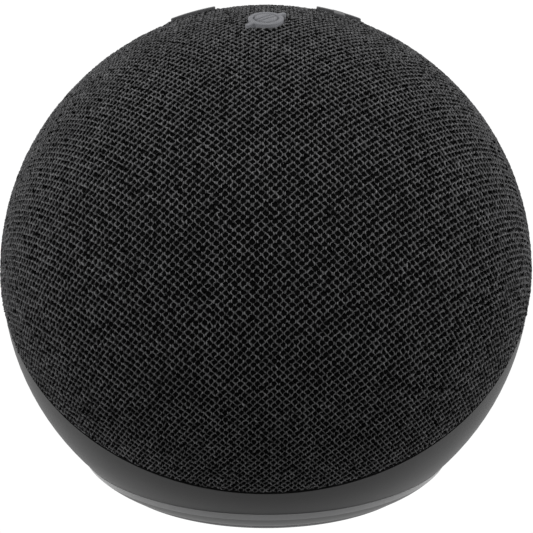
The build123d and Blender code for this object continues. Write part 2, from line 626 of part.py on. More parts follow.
def make_light_guide():
    """The clear ring that takes the light from the lamps into the diffuser."""
    top = LED_BOARD_Z - LED_SIZE[2] - GUIDE_GAP
    chamfer = (top - LIP_TOP) / 2
    return turned([(GUIDE_R, LIP_TOP), (GUIDE_R + GUIDE_T, LIP_TOP), (GUIDE_R + GUIDE_T, LIP_TOP + chamfer),
                   (GUIDE_R + GUIDE_T + chamfer / 2, top), (GUIDE_R, top)])


def make_led_board():
    """The ring-shaped board that carries the lamps on its underside."""
    board = upright(0, 0, LED_BOARD_Z, LED_BOARD_TOP, RING_TOP_R - LED_BOARD_OUTER_IN)
    board = board - upright(0, 0, LED_BOARD_Z - PAST, LED_BOARD_TOP + PAST, LED_BOARD_INNER_R)
    for x, y, _ in around(LED_SCREW_COUNT, LED_SCREW_CIRCLE, LED_SCREW_TURN):
        board = board - small_screw_hole(x, y, LED_BOARD_Z, LED_BOARD_TOP)
    return board


def make_leds():
    """The lamps under the light board."""
    one = Box(*LED_SIZE, align=(Align.CENTER, Align.CENTER, Align.MAX))
    return [Pos(x, y, LED_BOARD_Z) * Rot(0, 0, a) * one for x, y, a in around(LED_COUNT, LED_CIRCLE)]


def make_led_board_screws():
    """Screws that hold the light board under the floor."""
    one = Rot(180, 0, 0) * small_screw(BOARD_T + LED_BOARD_GAP)
    places = around(LED_SCREW_COUNT, LED_SCREW_CIRCLE, LED_SCREW_TURN)
    return [Pos(x, y, LED_BOARD_Z) * one for x, y, _ in places]


# ================================================================ key board
def make_key_board():
    """The round board under the keys."""
    board = upright(0, 0, KEY_BOARD_Z, KEY_BOARD_TOP, KEY_CIRCLE + KEY_BOARD_RIM)
    for x, y, _ in around(len(KEYS), KEY_BOARD_SCREW_CIRCLE, DIAGONAL):
        board = board - small_screw_hole(x, y, KEY_BOARD_Z, KEY_BOARD_TOP)
    return board


def make_key_board_screws():
    """Screws that hold the key board to the dome."""
    one = Rot(180, 0, 0) * small_screw(BOARD_T + KEY_SCREW_BITE)
    places = around(len(KEYS), KEY_BOARD_SCREW_CIRCLE, DIAGONAL)
    return [Pos(x, y, KEY_BOARD_Z) * one for x, y, _ in places]


def make_tact_switches():
    """The bodies of the four tactile switches, each with a bore for its plunger."""
    bodies = []
    depth = PLUNGER_H - PLUNGER_TOP + SWITCH_SIZE[2] + KEY_TRAVEL + RUNNING
    for x, y, _, _, _ in KEYS.values():
        body = Box(*SWITCH_SIZE, align=(Align.CENTER, Align.CENTER, Align.MIN))
        top = KEY_BOARD_TOP + SWITCH_SIZE[2]
        bore = upright(x, y, top - depth, top + PAST, PLUNGER_R + RUNNING)
        bodies.append(Pos(x, y, KEY_BOARD_TOP) * body - bore)
    return bodies


def make_microphones():
    """Microphones on the key board."""
    one = Box(*MIC_SIZE, align=(Align.CENTER, Align.CENTER, Align.MIN))
    places = around(MIC_COUNT, MIC_CIRCLE, MIC_TURN)
    return [Pos(x, y, KEY_BOARD_TOP) * Rot(0, 0, a) * one for x, y, a in places]


def make_microphone_seals():
    """Soft tubes that lead sound from the dome's small holes to the microphones."""
    seals = []
    for x, y, _ in around(MIC_COUNT, MIC_CIRCLE, MIC_TURN):
        low = KEY_BOARD_TOP + MIC_SIZE[2]
        tube = upright(x, y, low, BALL_Z + DOME_R, MIC_GASKET_R) & ball(DOME_INNER_R)
        seals.append(tube - upright(x, y, low - PAST, BALL_Z + DOME_R, MIC_PORT_R))
    return seals


# ================================================================ speaker
def speaker_turned(points):
    """A piece turned about the speaker's axis, from (radius, distance in front of its flange)."""
    return facing_front(0, SPEAKER_FACE_Y, SPEAKER_Z) * turned(points)


def make_speaker_basket():
    """The pressed steel frame: a flange, a cone with windows and a flat back."""
    back = -BASKET_DEPTH
    frame = turned([
        (FLANGE_HOLE_R, BASKET_T), (FLANGE_HOLE_R, 0), (BASKET_BACK_R - BASKET_T, back + BASKET_T),
        (GAP_R + BASKET_T, back + BASKET_T), (GAP_R + BASKET_T, back), (BASKET_BACK_R, back),
        (FLANGE_HOLE_R + BASKET_T, 0), (FLANGE_R, 0), (FLANGE_R, BASKET_T)])
    window_in = SPIDER_R + BASKET_T
    window_top = -2 * BASKET_T
    window_low = 2 * BASKET_T - SPIDER_DEPTH
    window = Polyline((window_in, window_low), (FAR, window_low), (FAR, window_top),
                      (window_in, window_top), close=True)
    wedge = revolve(Plane.XZ * make_face(window), Axis.Z, WINDOW_SPAN)
    wedge = Rot(0, 0, -WINDOW_SPAN / 2) * wedge
    for _, _, angle in around(BASKET_WINDOWS, 1, DIAGONAL):
        frame = frame - Rot(0, 0, angle) * wedge
    for x, y, _ in around(SPEAKER_SCREW_COUNT, SPEAKER_SCREW_CIRCLE, DIAGONAL):
        frame = frame - small_screw_hole(x, y, 0, BASKET_T)
    ledge_in = SPIDER_R - SURROUND_LAND
    low = -SPIDER_DEPTH - BASKET_T
    ledge = turned([(ledge_in, low), (ledge_in, low + BASKET_T), (SPIDER_R + BASKET_T, low + BASKET_T),
                    (SPIDER_R + BASKET_T, low)])
    stay = turned([(ledge_in, back), (ledge_in, low), (SPIDER_R, low), (SPIDER_R, back)])
    return facing_front(0, SPEAKER_FACE_Y, SPEAKER_Z) * (frame + ledge + stay)


def make_top_plate():
    """The steel ring around the voice coil."""
    high = -BASKET_DEPTH
    low = high - PLATE_T
    return speaker_turned([(GAP_R, high), (PLATE_R, high), (PLATE_R, low), (GAP_R, low)])


def make_magnet():
    """The ring magnet."""
    high = -BASKET_DEPTH - PLATE_T
    low = high - MAGNET_T
    return speaker_turned([
        (MAGNET_HOLE_R, high), (MAGNET_R, high), (MAGNET_R, low), (MAGNET_HOLE_R, low)])


def make_yoke():
    """The back plate with its pole in one piece."""
    high = -BASKET_DEPTH - PLATE_T - MAGNET_T
    low = high - PLATE_T
    pole_top = -BASKET_DEPTH
    return speaker_turned([
        (0, low), (PLATE_R, low), (PLATE_R, high), (POLE_R, high), (POLE_R, pole_top), (0, pole_top)])


def make_voice_coil():
    """The paper former and the winding on it."""
    top = -CONE_NECK_DEPTH
    winding_top = -BASKET_DEPTH - PLATE_T / 2 + COIL_H / 2
    winding_low = winding_top - COIL_H
    outer = COIL_FORMER_R + COIL_FORMER_T
    return speaker_turned([
        (COIL_FORMER_R, top), (outer, top), (outer, winding_top), (outer + COIL_T, winding_top),
        (outer + COIL_T, winding_low), (COIL_FORMER_R, winding_low)])


def make_cone():
    """The paper cone, glued to the voice coil at its neck."""
    neck = -CONE_NECK_DEPTH
    edge = -CONE_EDGE_DEPTH
    inner = CONE_NECK_R
    return speaker_turned([
        (inner, neck), (inner + PAPER_T, neck), (CONE_EDGE_R - PAPER_T, edge - PAPER_T),
        (CONE_EDGE_R, edge - PAPER_T), (CONE_EDGE_R, edge), (CONE_EDGE_R - PAPER_T, edge),
        (inner, neck + PAPER_T)])


def cap_section(half_width, rise, wall):
    """Half of a thin round cap, as a face in the XZ plane."""
    outer_r = (half_width ** 2 + rise ** 2) / (2 * rise)
    sheet = Pos(0, 0, rise - outer_r) * (Sphere(outer_r) - Sphere(outer_r - wall))
    room = Cylinder(half_width, rise + wall, align=(Align.CENTER, Align.CENTER, Align.MIN))
    return sheet & room


def make_dust_cap():
    """The small dome over the voice coil, standing on the neck of the cone."""
    cap = cap_section(CONE_NECK_R, DUST_CAP_RISE, PAPER_T / 2)
    return facing_front(0, SPEAKER_FACE_Y - PAPER_T + CONE_NECK_DEPTH, SPEAKER_Z) * cap


def make_surround():
    """The rubber roll between cone and basket, with a flat land on the basket."""
    inner = CONE_EDGE_R - PAPER_T
    outer = FLANGE_HOLE_R
    mid = (inner + outer) / 2
    half = (outer - inner) / 2
    low = BASKET_T
    rise = SURROUND_H
    roll = [
        Line((inner, -CONE_EDGE_DEPTH), (inner, low)),
        ThreePointArc((inner, low), (mid, low + rise), (outer, low)),
        Polyline((outer, low), (outer + SURROUND_LAND, low), (outer + SURROUND_LAND, low + SURROUND_T),
                 (outer + SURROUND_T / 2, low + SURROUND_T)),
        ThreePointArc((outer + SURROUND_T / 2, low + SURROUND_T), (mid, low + rise + SURROUND_T),
                      (inner - SURROUND_T, low)),
        Polyline((inner - SURROUND_T, low), (inner - SURROUND_T, -CONE_EDGE_DEPTH),
                 (inner, -CONE_EDGE_DEPTH)),
    ]
    section = make_face(roll)
    return facing_front(0, SPEAKER_FACE_Y, SPEAKER_Z) * revolve(Plane.XZ * section, Axis.Z)


def make_spider():
    """The springy cloth disc that centres the voice coil."""
    inner = CONE_NECK_R
    outer = SPIDER_R
    low = -SPIDER_DEPTH
    folds = 2 * SPIDER_WAVES
    step = (outer - inner) / folds
    ridge = [(inner + step * i, low + SPIDER_T * (i % 2)) for i in range(folds + 1)]
    crest = [(r, z + SPIDER_T) for r, z in reversed(ridge)]
    return speaker_turned(ridge + crest)


def make_speaker_gasket():
    """The foam ring between speaker and baffle."""
    ring = turned([
        (BAFFLE_HOLE_R, 0), (FLANGE_R, 0), (FLANGE_R, -GASKET_T), (BAFFLE_HOLE_R, -GASKET_T)])
    for x, y, _ in around(SPEAKER_SCREW_COUNT, SPEAKER_SCREW_CIRCLE, DIAGONAL):
        ring = ring - small_screw_hole(x, y, -GASKET_T, 0)
    return facing_front(0, SPEAKER_FACE_Y, SPEAKER_Z) * ring


def make_baffle():
    """The plate that the speaker is screwed to, closing the front of the enclosure."""
    plate = turned([(BAFFLE_HOLE_R, 0), (BAFFLE_R, 0), (BAFFLE_R, -BAFFLE_T), (BAFFLE_HOLE_R, -BAFFLE_T)])
    for x, y, _ in around(SPEAKER_SCREW_COUNT, SPEAKER_SCREW_CIRCLE, DIAGONAL):
        plate = plate + upright(x, y, -BAFFLE_T - SPEAKER_BOSS_H, -BAFFLE_T / 2, SPEAKER_BOSS_R)
        plate = plate - upright(x, y, PAST - BAFFLE_T - SPEAKER_BOSS_H, PAST, SMALL_SCREW_R)
    for x, y, _ in around(BAFFLE_SCREW_COUNT, BAFFLE_SCREW_CIRCLE, 90):
        plate = plate - small_screw_hole(x, y, -BAFFLE_T, 0)
    return facing_front(0, BAFFLE_Y, SPEAKER_Z) * plate


def make_speaker_screws():
    """Screws through the speaker's flange into the baffle."""
    one = small_screw(BASKET_T + GASKET_T + BAFFLE_T + SPEAKER_BOSS_H - PAST)
    places = around(SPEAKER_SCREW_COUNT, SPEAKER_SCREW_CIRCLE, DIAGONAL)
    return [facing_front(0, SPEAKER_FACE_Y - BASKET_T, SPEAKER_Z) * Pos(x, y) * one for x, y, _ in places]


def make_baffle_screws():
    """Screws through the baffle into the enclosure's flange."""
    one = small_screw(BAFFLE_T + ENCLOSURE_FLANGE_T)
    places = around(BAFFLE_SCREW_COUNT, BAFFLE_SCREW_CIRCLE, 90)
    return [facing_front(0, BAFFLE_Y, SPEAKER_Z) * Pos(x, y) * one for x, y, _ in places]


def make_enclosure():
    """The sealed cup behind the speaker, standing on four legs."""
    inner = ENCLOSURE_R - ENCLOSURE_T
    depth = ENCLOSURE_DEPTH
    cup = turned([
        (inner, 0), (BAFFLE_R, 0), (BAFFLE_R, -ENCLOSURE_FLANGE_T), (ENCLOSURE_R, -ENCLOSURE_FLANGE_T),
        (ENCLOSURE_R, -depth), (0, -depth), (0, ENCLOSURE_T - depth), (inner, ENCLOSURE_T - depth)])
    for x, y, _ in around(BAFFLE_SCREW_COUNT, BAFFLE_SCREW_CIRCLE, 90):
        cup = cup - upright(x, y, -ENCLOSURE_FLANGE_T, PAST, SMALL_SCREW_R)
    for x in (-MAIN_BOARD_HOLE, MAIN_BOARD_HOLE):
        for z in (-MAIN_BOARD_HOLE, MAIN_BOARD_HOLE):
            cup = cup + upright(x, z, -depth - MAIN_BOARD_STANDOFF, -depth + ENCLOSURE_T / 2, STANDOFF_R)
            cup = cup - upright(x, z, -depth - MAIN_BOARD_STANDOFF - PAST, -depth, SMALL_SCREW_R)
    cup = facing_front(0, ENCLOSURE_FRONT_Y, SPEAKER_Z) * cup
    middle = facing_front(0, ENCLOSURE_FRONT_Y, SPEAKER_Z) * Cylinder(
        ENCLOSURE_R - ENCLOSURE_T / 2, depth, align=(Align.CENTER, Align.CENTER, Align.MAX))
    for x, y in LEG_PLACES:
        cup = cup + (upright(x, y, FLOOR_TOP, SPEAKER_Z, LEG_R) - middle)
        cup = cup - upright(x, y, FLOOR_TOP - PAST, FLOOR_TOP + LEG_SCREW_BITE + PAST, SCREW_R)
    for x in (LEAD_X - LEAD_SPACING / 2, LEAD_X + LEAD_SPACING / 2):
        hole = Cylinder(LEAD_R + RUNNING, 4 * ENCLOSURE_T)
        cup = cup - facing_back(x, ENCLOSURE_BACK_Y, LEAD_Z) * hole
    return cup


def make_enclosure_screws():
    """Screws from under the floor up into the enclosure's legs."""
    one = Rot(180, 0, 0) * housing_screw(FLOOR_T + LEG_SCREW_BITE)
    return [Pos(x, y, FLOOR_Z) * one for x, y in LEG_PLACES]


# ================================================================ main board
def plate_xz(width, height, corner, y_low, thickness, z_middle):
    """An upright rounded plate facing the back."""
    outline = RectangleRounded(width, height, corner)
    return facing_back(0, y_low, z_middle) * extrude(outline, thickness)


def board_screw_places():
    """Places of the screws through the main board."""
    offsets = (-MAIN_BOARD_HOLE, MAIN_BOARD_HOLE)
    return [(x, SPEAKER_Z + z) for x in offsets for z in offsets]


def level_bar(x, z, low_y, high_y, radius):
    """A round bar along Y."""
    bar = Cylinder(radius, high_y - low_y, align=(Align.CENTER, Align.CENTER, Align.MIN))
    return facing_back(x, low_y, z) * bar


def make_main_board():
    """The upright board behind the speaker."""
    board = plate_xz(MAIN_BOARD_W, MAIN_BOARD_H, MAIN_BOARD_CORNER, MAIN_BOARD_Y, BOARD_T, SPEAKER_Z)
    for x, z in board_screw_places():
        hole_r = SMALL_SCREW_R + SCREW_HOLE_GAP
        board = board - level_bar(x, z, MAIN_BOARD_Y - PAST, MAIN_BOARD_BACK_Y + PAST, hole_r)
    return board


def make_processor_shield():
    """The pressed can over the processor, open toward the board."""
    width, depth, height = SHIELD_SIZE
    low = MAIN_BOARD_BACK_Y
    can = Pos(0, low, SPEAKER_Z) * Box(width, depth, height, align=ON_BOARD)
    thin = 2 * SHIELD_WALL
    room = Box(width - thin, depth - SHIELD_WALL + PAST, height - thin, align=ON_BOARD)
    return can - Pos(0, low - PAST, SPEAKER_Z) * room


def make_processor():
    """The processor under its shield."""
    side = PAD_SIDE / 2
    height = SHIELD_SIZE[1] - 2 * SHIELD_WALL
    return Pos(0, MAIN_BOARD_BACK_Y, SPEAKER_Z) * Box(side, height, side, align=ON_BOARD)


def make_thermal_pad():
    """The soft pad between shield and heat sink."""
    low = MAIN_BOARD_BACK_Y + SHIELD_SIZE[1]
    return Pos(0, low, SPEAKER_Z) * Box(PAD_SIDE, PAD_T, PAD_SIDE, align=ON_BOARD)


def make_heat_sink():
    """The finned plate held by the board's own screws."""
    width, thickness, height = HEAT_SINK_SIZE
    sink = plate_xz(width, height, STANDOFF_R, HEAT_SINK_Y, thickness, SPEAKER_Z)
    step = (2 * (MAIN_BOARD_HOLE - SMALL_HEAD_R) - 2 * FIN_T) / (FIN_COUNT - 1)
    fin_low = HEAT_SINK_Y + thickness / 2
    for i in range(FIN_COUNT):
        x = (i - (FIN_COUNT - 1) / 2) * step
        fin = block((x - FIN_T / 2, x + FIN_T / 2), (fin_low, HEAT_SINK_Y + thickness + FIN_H),
                    (SPEAKER_Z - height / 2, SPEAKER_Z + height / 2))
        sink = sink + fin
    for x, z in board_screw_places():
        sink = sink + level_bar(x, z, MAIN_BOARD_BACK_Y, HEAT_SINK_Y + thickness / 2, STANDOFF_R)
        sink = sink - level_bar(x, z, HEAT_SINK_Y + thickness, FAR, SMALL_HEAD_R + SCREW_HOLE_GAP)
        sink = sink - level_bar(x, z, MAIN_BOARD_BACK_Y - PAST, FAR, SMALL_SCREW_R + SCREW_HOLE_GAP)
    return sink


def make_main_board_screws():
    """Long screws through heat sink and board into the enclosure."""
    head_y = HEAT_SINK_Y + HEAT_SINK_SIZE[1]
    one = small_screw(head_y - ENCLOSURE_BACK_Y)
    return [facing_back(x, head_y, z) * one for x, z in board_screw_places()]


def make_board_chips():
    """Memory, amplifier, power and radio chips on the main board."""
    chips = []
    for x, z, width, depth, height in CHIP_LIST:
        chip = Box(width, depth, height, align=ON_BOARD)
        chips.append(Pos(x, MAIN_BOARD_BACK_Y, SPEAKER_Z + z) * chip)
    return chips


def make_antennas():
    """Two bent sheet-metal antennas at the top corners of the main board."""
    antennas = []
    top = SPEAKER_Z + MAIN_BOARD_H / 2 - SHEET_T
    for side in (-1, 1):
        x = side * ANTENNA_X
        x_range = (x - ANTENNA_W / 2, x + ANTENNA_W / 2)
        back = MAIN_BOARD_BACK_Y + ANTENNA_STANDOFF
        web = block(x_range, (MAIN_BOARD_BACK_Y, back), (top - SHEET_T, top))
        lip = block(x_range, (back - SHEET_T, back), (top - ANTENNA_H / 2, top))
        antennas.append(web + lip)
    return antennas


# ================================================================ sockets
def port_board_screw_places():
    """Places of the socket board's two screws."""
    return [(side * (PORT_BOARD[0] / 2 - STANDOFF_R), PORT_BOARD_FRONT_Y + STANDOFF_R) for side in (-1, 1)]


def make_port_board():
    """The small board under the sockets."""
    half = PORT_BOARD[0] / 2
    y_range = (PORT_BOARD_FRONT_Y, PORT_BOARD_FRONT_Y + PORT_BOARD[1])
    board = block((-half, half), y_range, (PORT_BOARD_Z, PORT_BOARD_TOP))
    for x, y in port_board_screw_places():
        board = board - small_screw_hole(x, y, PORT_BOARD_Z, PORT_BOARD_TOP)
    return board


def make_port_board_screws():
    """Screws that hold the socket board down."""
    one = small_screw(BOARD_T + PORT_BOARD_Z - FLOOR_TOP)
    return [Pos(x, y, PORT_BOARD_TOP) * one for x, y in port_board_screw_places()]


def jack_body(x):
    """The plain block of a socket, its mouth against the recess wall."""
    y_range = (JACK_FACE_Y - JACK_LENGTH, JACK_FACE_Y)
    z_range = (PORT_BOARD_TOP, PORT_BOARD_TOP + JACK_SIDE)
    return block((x - JACK_SIDE / 2, x + JACK_SIDE / 2), y_range, z_range)


def make_dc_jack():
    """The round power socket, with its centre pin at the bottom of the bore."""
    x = -PORT_SPACING
    floor_y = JACK_FACE_Y - DC_BORE_L
    body = jack_body(x) - level_bar(x, PORT_Z, floor_y, JACK_FACE_Y + PAST, DC_BORE_R)
    return body + level_bar(x, PORT_Z, floor_y - PAST, floor_y + DC_PIN_L, DC_PIN_R)


def make_audio_jack():
    """The small round audio socket, whose neck comes through the recess wall."""
    x = PORT_SPACING
    neck = level_bar(x, PORT_Z, JACK_FACE_Y - PAST, PORT_FACE_Y, AUDIO_NECK_R)
    return jack_body(x) + neck - level_bar(x, PORT_Z, PORT_FACE_Y - AUDIO_BORE_L, FAR, AUDIO_BORE_R)


# ================================================================ connectors and ribbons
def ribbon(points, width, x):
    """A flat ribbon of one width along points in the YZ plane, rounded at its corners."""
    path = FilletPolyline(*points, radius=RIBBON_BEND)
    strip = trace(path, RIBBON_T)
    face = Plane.YZ * strip
    return Pos(x - width / 2, 0, 0) * extrude(face, width, dir=(1, 0, 0))


def make_key_ribbon():
    """The ribbon from the key board down to the main board."""
    y = FRONT_RIBBON_Y
    points = [(KEY_PLUG_Y[1], KEY_RIBBON_TOP), (y, KEY_RIBBON_TOP), (y, MAIN_BOARD_TOP)]
    return ribbon(points, KEY_RIBBON_W, 0)


def make_led_ribbon():
    """The ribbon from the main board through the floor to the light board."""
    y = FRONT_RIBBON_Y
    points = [(y, MAIN_BOARD_LOW), (y, LED_RIBBON_LOW), (LED_PLUG_Y[0], LED_RIBBON_LOW)]
    return ribbon(points, LED_RIBBON_W, LED_RIBBON_X)


def make_port_ribbon():
    """The ribbon from the socket board up to the main board."""
    y = BACK_RIBBON_Y
    points = [(PORT_PLUG_Y, PORT_RIBBON_LOW), (y, PORT_RIBBON_LOW), (y, MAIN_BOARD_LOW)]
    return ribbon(points, PORT_RIBBON_W, PORT_RIBBON_X)


def plug_block(x, width, y_range, z_range):
    """The body of a board connector."""
    return block((x - width / 2, x + width / 2), y_range, z_range)


def make_board_connectors():
    """Ribbon and lead connectors on the boards."""
    front = (MAIN_BOARD_Y - RIBBON_CONNECTOR_T, MAIN_BOARD_Y)
    back = (MAIN_BOARD_BACK_Y, MAIN_BOARD_BACK_Y + RIBBON_CONNECTOR_T)
    top_end = (MAIN_BOARD_TOP - MAIN_PLUG_H, MAIN_BOARD_TOP)
    low_end = (MAIN_BOARD_LOW, MAIN_BOARD_LOW + MAIN_PLUG_H)
    key_w = KEY_RIBBON_W + PLUG_GROW
    led_w = LED_RIBBON_W + PLUG_GROW
    port_w = PORT_RIBBON_W + PLUG_GROW
    port_y = (PORT_PLUG_Y, PORT_PLUG_Y + PORT_PLUG_L)
    port_z = (PORT_BOARD_TOP, PORT_BOARD_TOP + RIBBON_CONNECTOR_T)
    lead_z = (LEAD_Z - MAIN_PLUG_H / 2, LEAD_Z + MAIN_PLUG_H / 2)
    return [
        plug_block(0, key_w, KEY_PLUG_Y, (KEY_BOARD_Z - RIBBON_CONNECTOR_T, KEY_BOARD_Z)),
        plug_block(0, key_w, front, top_end),
        plug_block(LED_RIBBON_X, led_w, front, low_end),
        plug_block(LED_RIBBON_X, led_w, LED_PLUG_Y, (LED_BOARD_TOP, LED_BOARD_TOP + LED_PLUG_H)),
        plug_block(PORT_RIBBON_X, port_w, port_y, port_z),
        plug_block(PORT_RIBBON_X, port_w, back, low_end),
        plug_block(LEAD_X, 4 * LEAD_SPACING, front, lead_z),
    ]


def make_speaker_lead():
    """Two wires from the speaker's terminal back through the enclosure to the main board."""
    wires = []
    start_y = TERMINAL_Y + TERMINAL_SIZE[1]
    end_y = MAIN_BOARD_Y - RIBBON_CONNECTOR_T
    jog_from, jog_to = LEAD_JOG_Y
    for side in (-1, 1):
        x = LEAD_X + side * LEAD_SPACING / 2
        points = [(x, start_y, TERMINAL_Z), (x, jog_from, TERMINAL_Z),
                  (x, jog_to, LEAD_Z), (x, end_y, LEAD_Z)]
        path = FilletPolyline(*points, radius=LEAD_BEND)
        section = Plane(origin=points[0], z_dir=(0, 1, 0)) * Circle(LEAD_R)
        wires.append(sweep(section, path))
    return wires


def make_speaker_terminal():
    """The tag board behind the baffle that the speaker's wires are soldered to."""
    width, depth, height = TERMINAL_SIZE
    x_low = LEAD_X - TERMINAL_EDGE
    z_range = (TERMINAL_Z - height / 2, TERMINAL_Z + height / 2)
    return block((x_low, x_low + width), (TERMINAL_Y, TERMINAL_Y + depth), z_range)


# ================================================================ write every node
def write(name, shapes):
    """Write one node; a list is kept as separate solids."""
    solids = []
    for shape in shapes if isinstance(shapes, list) else [shapes]:
        solids.extend(shape.solids())
    export_step(Compound(children=solids) if len(solids) > 1 else solids[0], f"parts/{name}.step")


NODES = {
    "knit_cover": make_knit_cover,
    "grille_dome": make_grille_dome,
    "lower_housing": make_lower_housing,
    "light_ring": make_light_ring,
    "light_guide": make_light_guide,
    "base_plate": make_base_plate,
    "rubber_foot": make_rubber_foot,
    "base_screws": make_base_screws,
    "dome_screws": make_dome_screws,
    "led_board": make_led_board,
    "leds": make_leds,
    "led_board_screws": make_led_board_screws,
    "key_board": make_key_board,
    "key_board_screws": make_key_board_screws,
    "tact_switches": make_tact_switches,
    "microphones": make_microphones,
    "microphone_seals": make_microphone_seals,
    "speaker_basket": make_speaker_basket,
    "speaker_top_plate": make_top_plate,
    "speaker_magnet": make_magnet,
    "speaker_yoke": make_yoke,
    "voice_coil": make_voice_coil,
    "speaker_cone": make_cone,
    "dust_cap": make_dust_cap,
    "speaker_surround": make_surround,
    "speaker_spider": make_spider,
    "speaker_gasket": make_speaker_gasket,
    "speaker_baffle": make_baffle,
    "speaker_screws": make_speaker_screws,
    "baffle_screws": make_baffle_screws,
    "speaker_enclosure": make_enclosure,
    "enclosure_screws": make_enclosure_screws,
    "main_board": make_main_board,
    "processor": make_processor,
    "processor_shield": make_processor_shield,
    "thermal_pad": make_thermal_pad,
    "heat_sink": make_heat_sink,
    "main_board_screws": make_main_board_screws,
    "board_chips": make_board_chips,
    "wifi_antennas": make_antennas,
    "port_board": make_port_board,
    "port_board_screws": make_port_board_screws,
    "dc_jack": make_dc_jack,
    "audio_jack": make_audio_jack,
    "key_ribbon": make_key_ribbon,
    "led_ribbon": make_led_ribbon,
    "port_ribbon": make_port_ribbon,
    "board_connectors": make_board_connectors,
    "speaker_terminal": make_speaker_terminal,
    "speaker_lead": make_speaker_lead,
}

os.makedirs("parts", exist_ok=True)
for node, make in NODES.items():
    write(node, make())
for key in KEYS:
    write(f"{key}_key", make_key(key))
    write(f"{key}_plunger", make_plunger(key))
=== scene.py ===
import bmesh
import bpy
import json
import math
import random
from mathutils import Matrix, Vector


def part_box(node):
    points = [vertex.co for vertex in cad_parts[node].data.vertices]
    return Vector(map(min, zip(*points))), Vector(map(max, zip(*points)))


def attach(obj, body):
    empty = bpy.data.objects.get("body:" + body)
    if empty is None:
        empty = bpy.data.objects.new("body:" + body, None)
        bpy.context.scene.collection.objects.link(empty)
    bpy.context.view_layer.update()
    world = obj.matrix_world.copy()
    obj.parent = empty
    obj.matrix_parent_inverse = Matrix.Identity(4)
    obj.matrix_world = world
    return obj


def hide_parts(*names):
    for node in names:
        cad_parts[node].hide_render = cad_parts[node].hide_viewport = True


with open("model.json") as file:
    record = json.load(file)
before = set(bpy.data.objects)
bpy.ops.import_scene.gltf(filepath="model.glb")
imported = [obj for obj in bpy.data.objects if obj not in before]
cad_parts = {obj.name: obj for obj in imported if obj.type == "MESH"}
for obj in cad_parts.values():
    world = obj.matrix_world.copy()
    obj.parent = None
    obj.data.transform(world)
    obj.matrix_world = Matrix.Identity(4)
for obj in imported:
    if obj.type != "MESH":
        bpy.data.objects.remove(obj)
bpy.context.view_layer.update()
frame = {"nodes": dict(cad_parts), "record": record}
MM = 0.001

# ---------------------------------------------------------------- the ball and its seam
BALL_R = 50.0 * MM
CENTRE = Vector((0.0, 0.0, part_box("knit_cover")[1].z - BALL_R))
HOUSING_R = 49.6 * MM
SEAM_TILT = math.radians(40.7)
SEAM_NORMAL = Vector((0.0, -math.sin(SEAM_TILT), math.cos(SEAM_TILT)))
KNIT_EDGE = 6.2 * MM            # the knit's edge, along the seam normal from the ball's centre

# ---------------------------------------------------------------- the knit
WALE = 1.45 * MM                 # distance between openings in one row, unstretched
COURSE = 1.31 * MM               # distance between openings in one column
SIDE_STRETCH = 0.55              # how far the knit gives sideways as it goes round the dome
STRAND_TOP_R = BALL_R - 0.01 * MM
STRAND_FOOT_R = BALL_R - 0.52 * MM
VALLEY_R = BALL_R - 0.16 * MM    # between two strands that lie side by side
BACK_LAYER_R = BALL_R - 0.5 * MM
STRAND_OFF = 0.17 * MM          # a strand's middle from the line where it meets its neighbour
OPENING_HALF_W = 0.37 * MM
VALLEY_PAINTED_SHADE = 0.45              # painted shade between two strands: brightness as a share of a crest's
STRAIGHT_H = 0.21 * MM           # half the length that a strand runs straight beside its neighbour
TIP_H = 0.12 * MM                # half the length of the yarn that ties two strands together
HEM_TURN = 0.35 * MM             # radius of the fold at the knit's edge
HEM_REACH = 0.7 * MM             # how far the knit goes down into the groove
FOLD_START = math.acos(KNIT_EDGE / BALL_R) - HEM_TURN / BALL_R
KNIT_END = FOLD_START + (HEM_TURN * math.pi / 2 + HEM_REACH) / BALL_R
KNIT_REACH = 1.6                 # half the flat knit's size as a share of the ball's radius, rounded up
YARN_WANDER = 0.075 * MM         # unevenness of the yarn's place
YARN_SLACK = 0.2 * MM           # unevenness of the yarn's height

# ---------------------------------------------------------------- keys
KEY_CIRCLE = 13.26 * MM
BAR_LENGTH = 8.05 * MM
BAR_WIDTH = 2.0 * MM
BAR_CORNER = 0.45 * MM
ROUND_KEY_R = 3.12 * MM
SLASH_LENGTH = 9.0 * MM
SLASH_WIDTH = 0.85 * MM
SLASH_TURN = math.radians(41.0)
KNIT_KEY_GAP = 0.1 * MM
KEY_LIP = 0.28 * MM              # how far the knit is pushed up round the keys
ACTION_LIP = 0.06 * MM           # the same round the action key, which is almost flush
KEY_LIP_REACH = 1.5 * MM
KEY_ZONE_Z = BALL_R * 0.85       # height above the ball's centre past which there are keys


# ================================================================ small helpers
def only(obj):
    """Select one object and make it active."""
    bpy.ops.object.select_all(action="DESELECT")
    obj.select_set(True)
    bpy.context.view_layer.objects.active = obj
    return obj


def finish_piece(obj, body, slot, *nodes):
    """Put a finished piece in the frame: its body, its finish and the CAD nodes it stands for."""
    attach(obj, body)
    if nodes:
        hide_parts(*nodes)
    obj.data.materials.clear()
    obj.data.materials.append(FINISHES[slot])
    return obj


# ================================================================ materials
def new_material(name):
    """An empty node material and a small helper to add nodes to it."""
    material = bpy.data.materials.new(name)
    material.use_nodes = True
    tree = material.node_tree
    tree.nodes.clear()
    return material, tree


def add(tree, kind, inputs=None, **settings):
    """Add a node, set its options and its input values."""
    node = tree.nodes.new(kind)
    for key, value in settings.items():
        setattr(node, key, value)
    for key, value in (inputs or {}).items():
        node.inputs[key].default_value = value
    return node


def ramp(tree, source, stops):
    """A colour ramp fed by a value."""
    node = tree.nodes.new("ShaderNodeValToRGB")
    ends = node.color_ramp.elements
    while len(ends) < len(stops):
        ends.new(0.5)
    for element, (place, colour) in zip(ends, stops):
        element.position = place
        element.color = (*colour, 1.0)
    tree.links.new(source, node.inputs["Fac"])
    return node.outputs["Color"]


def grey(value):
    """A neutral colour."""
    return (value, value, value)


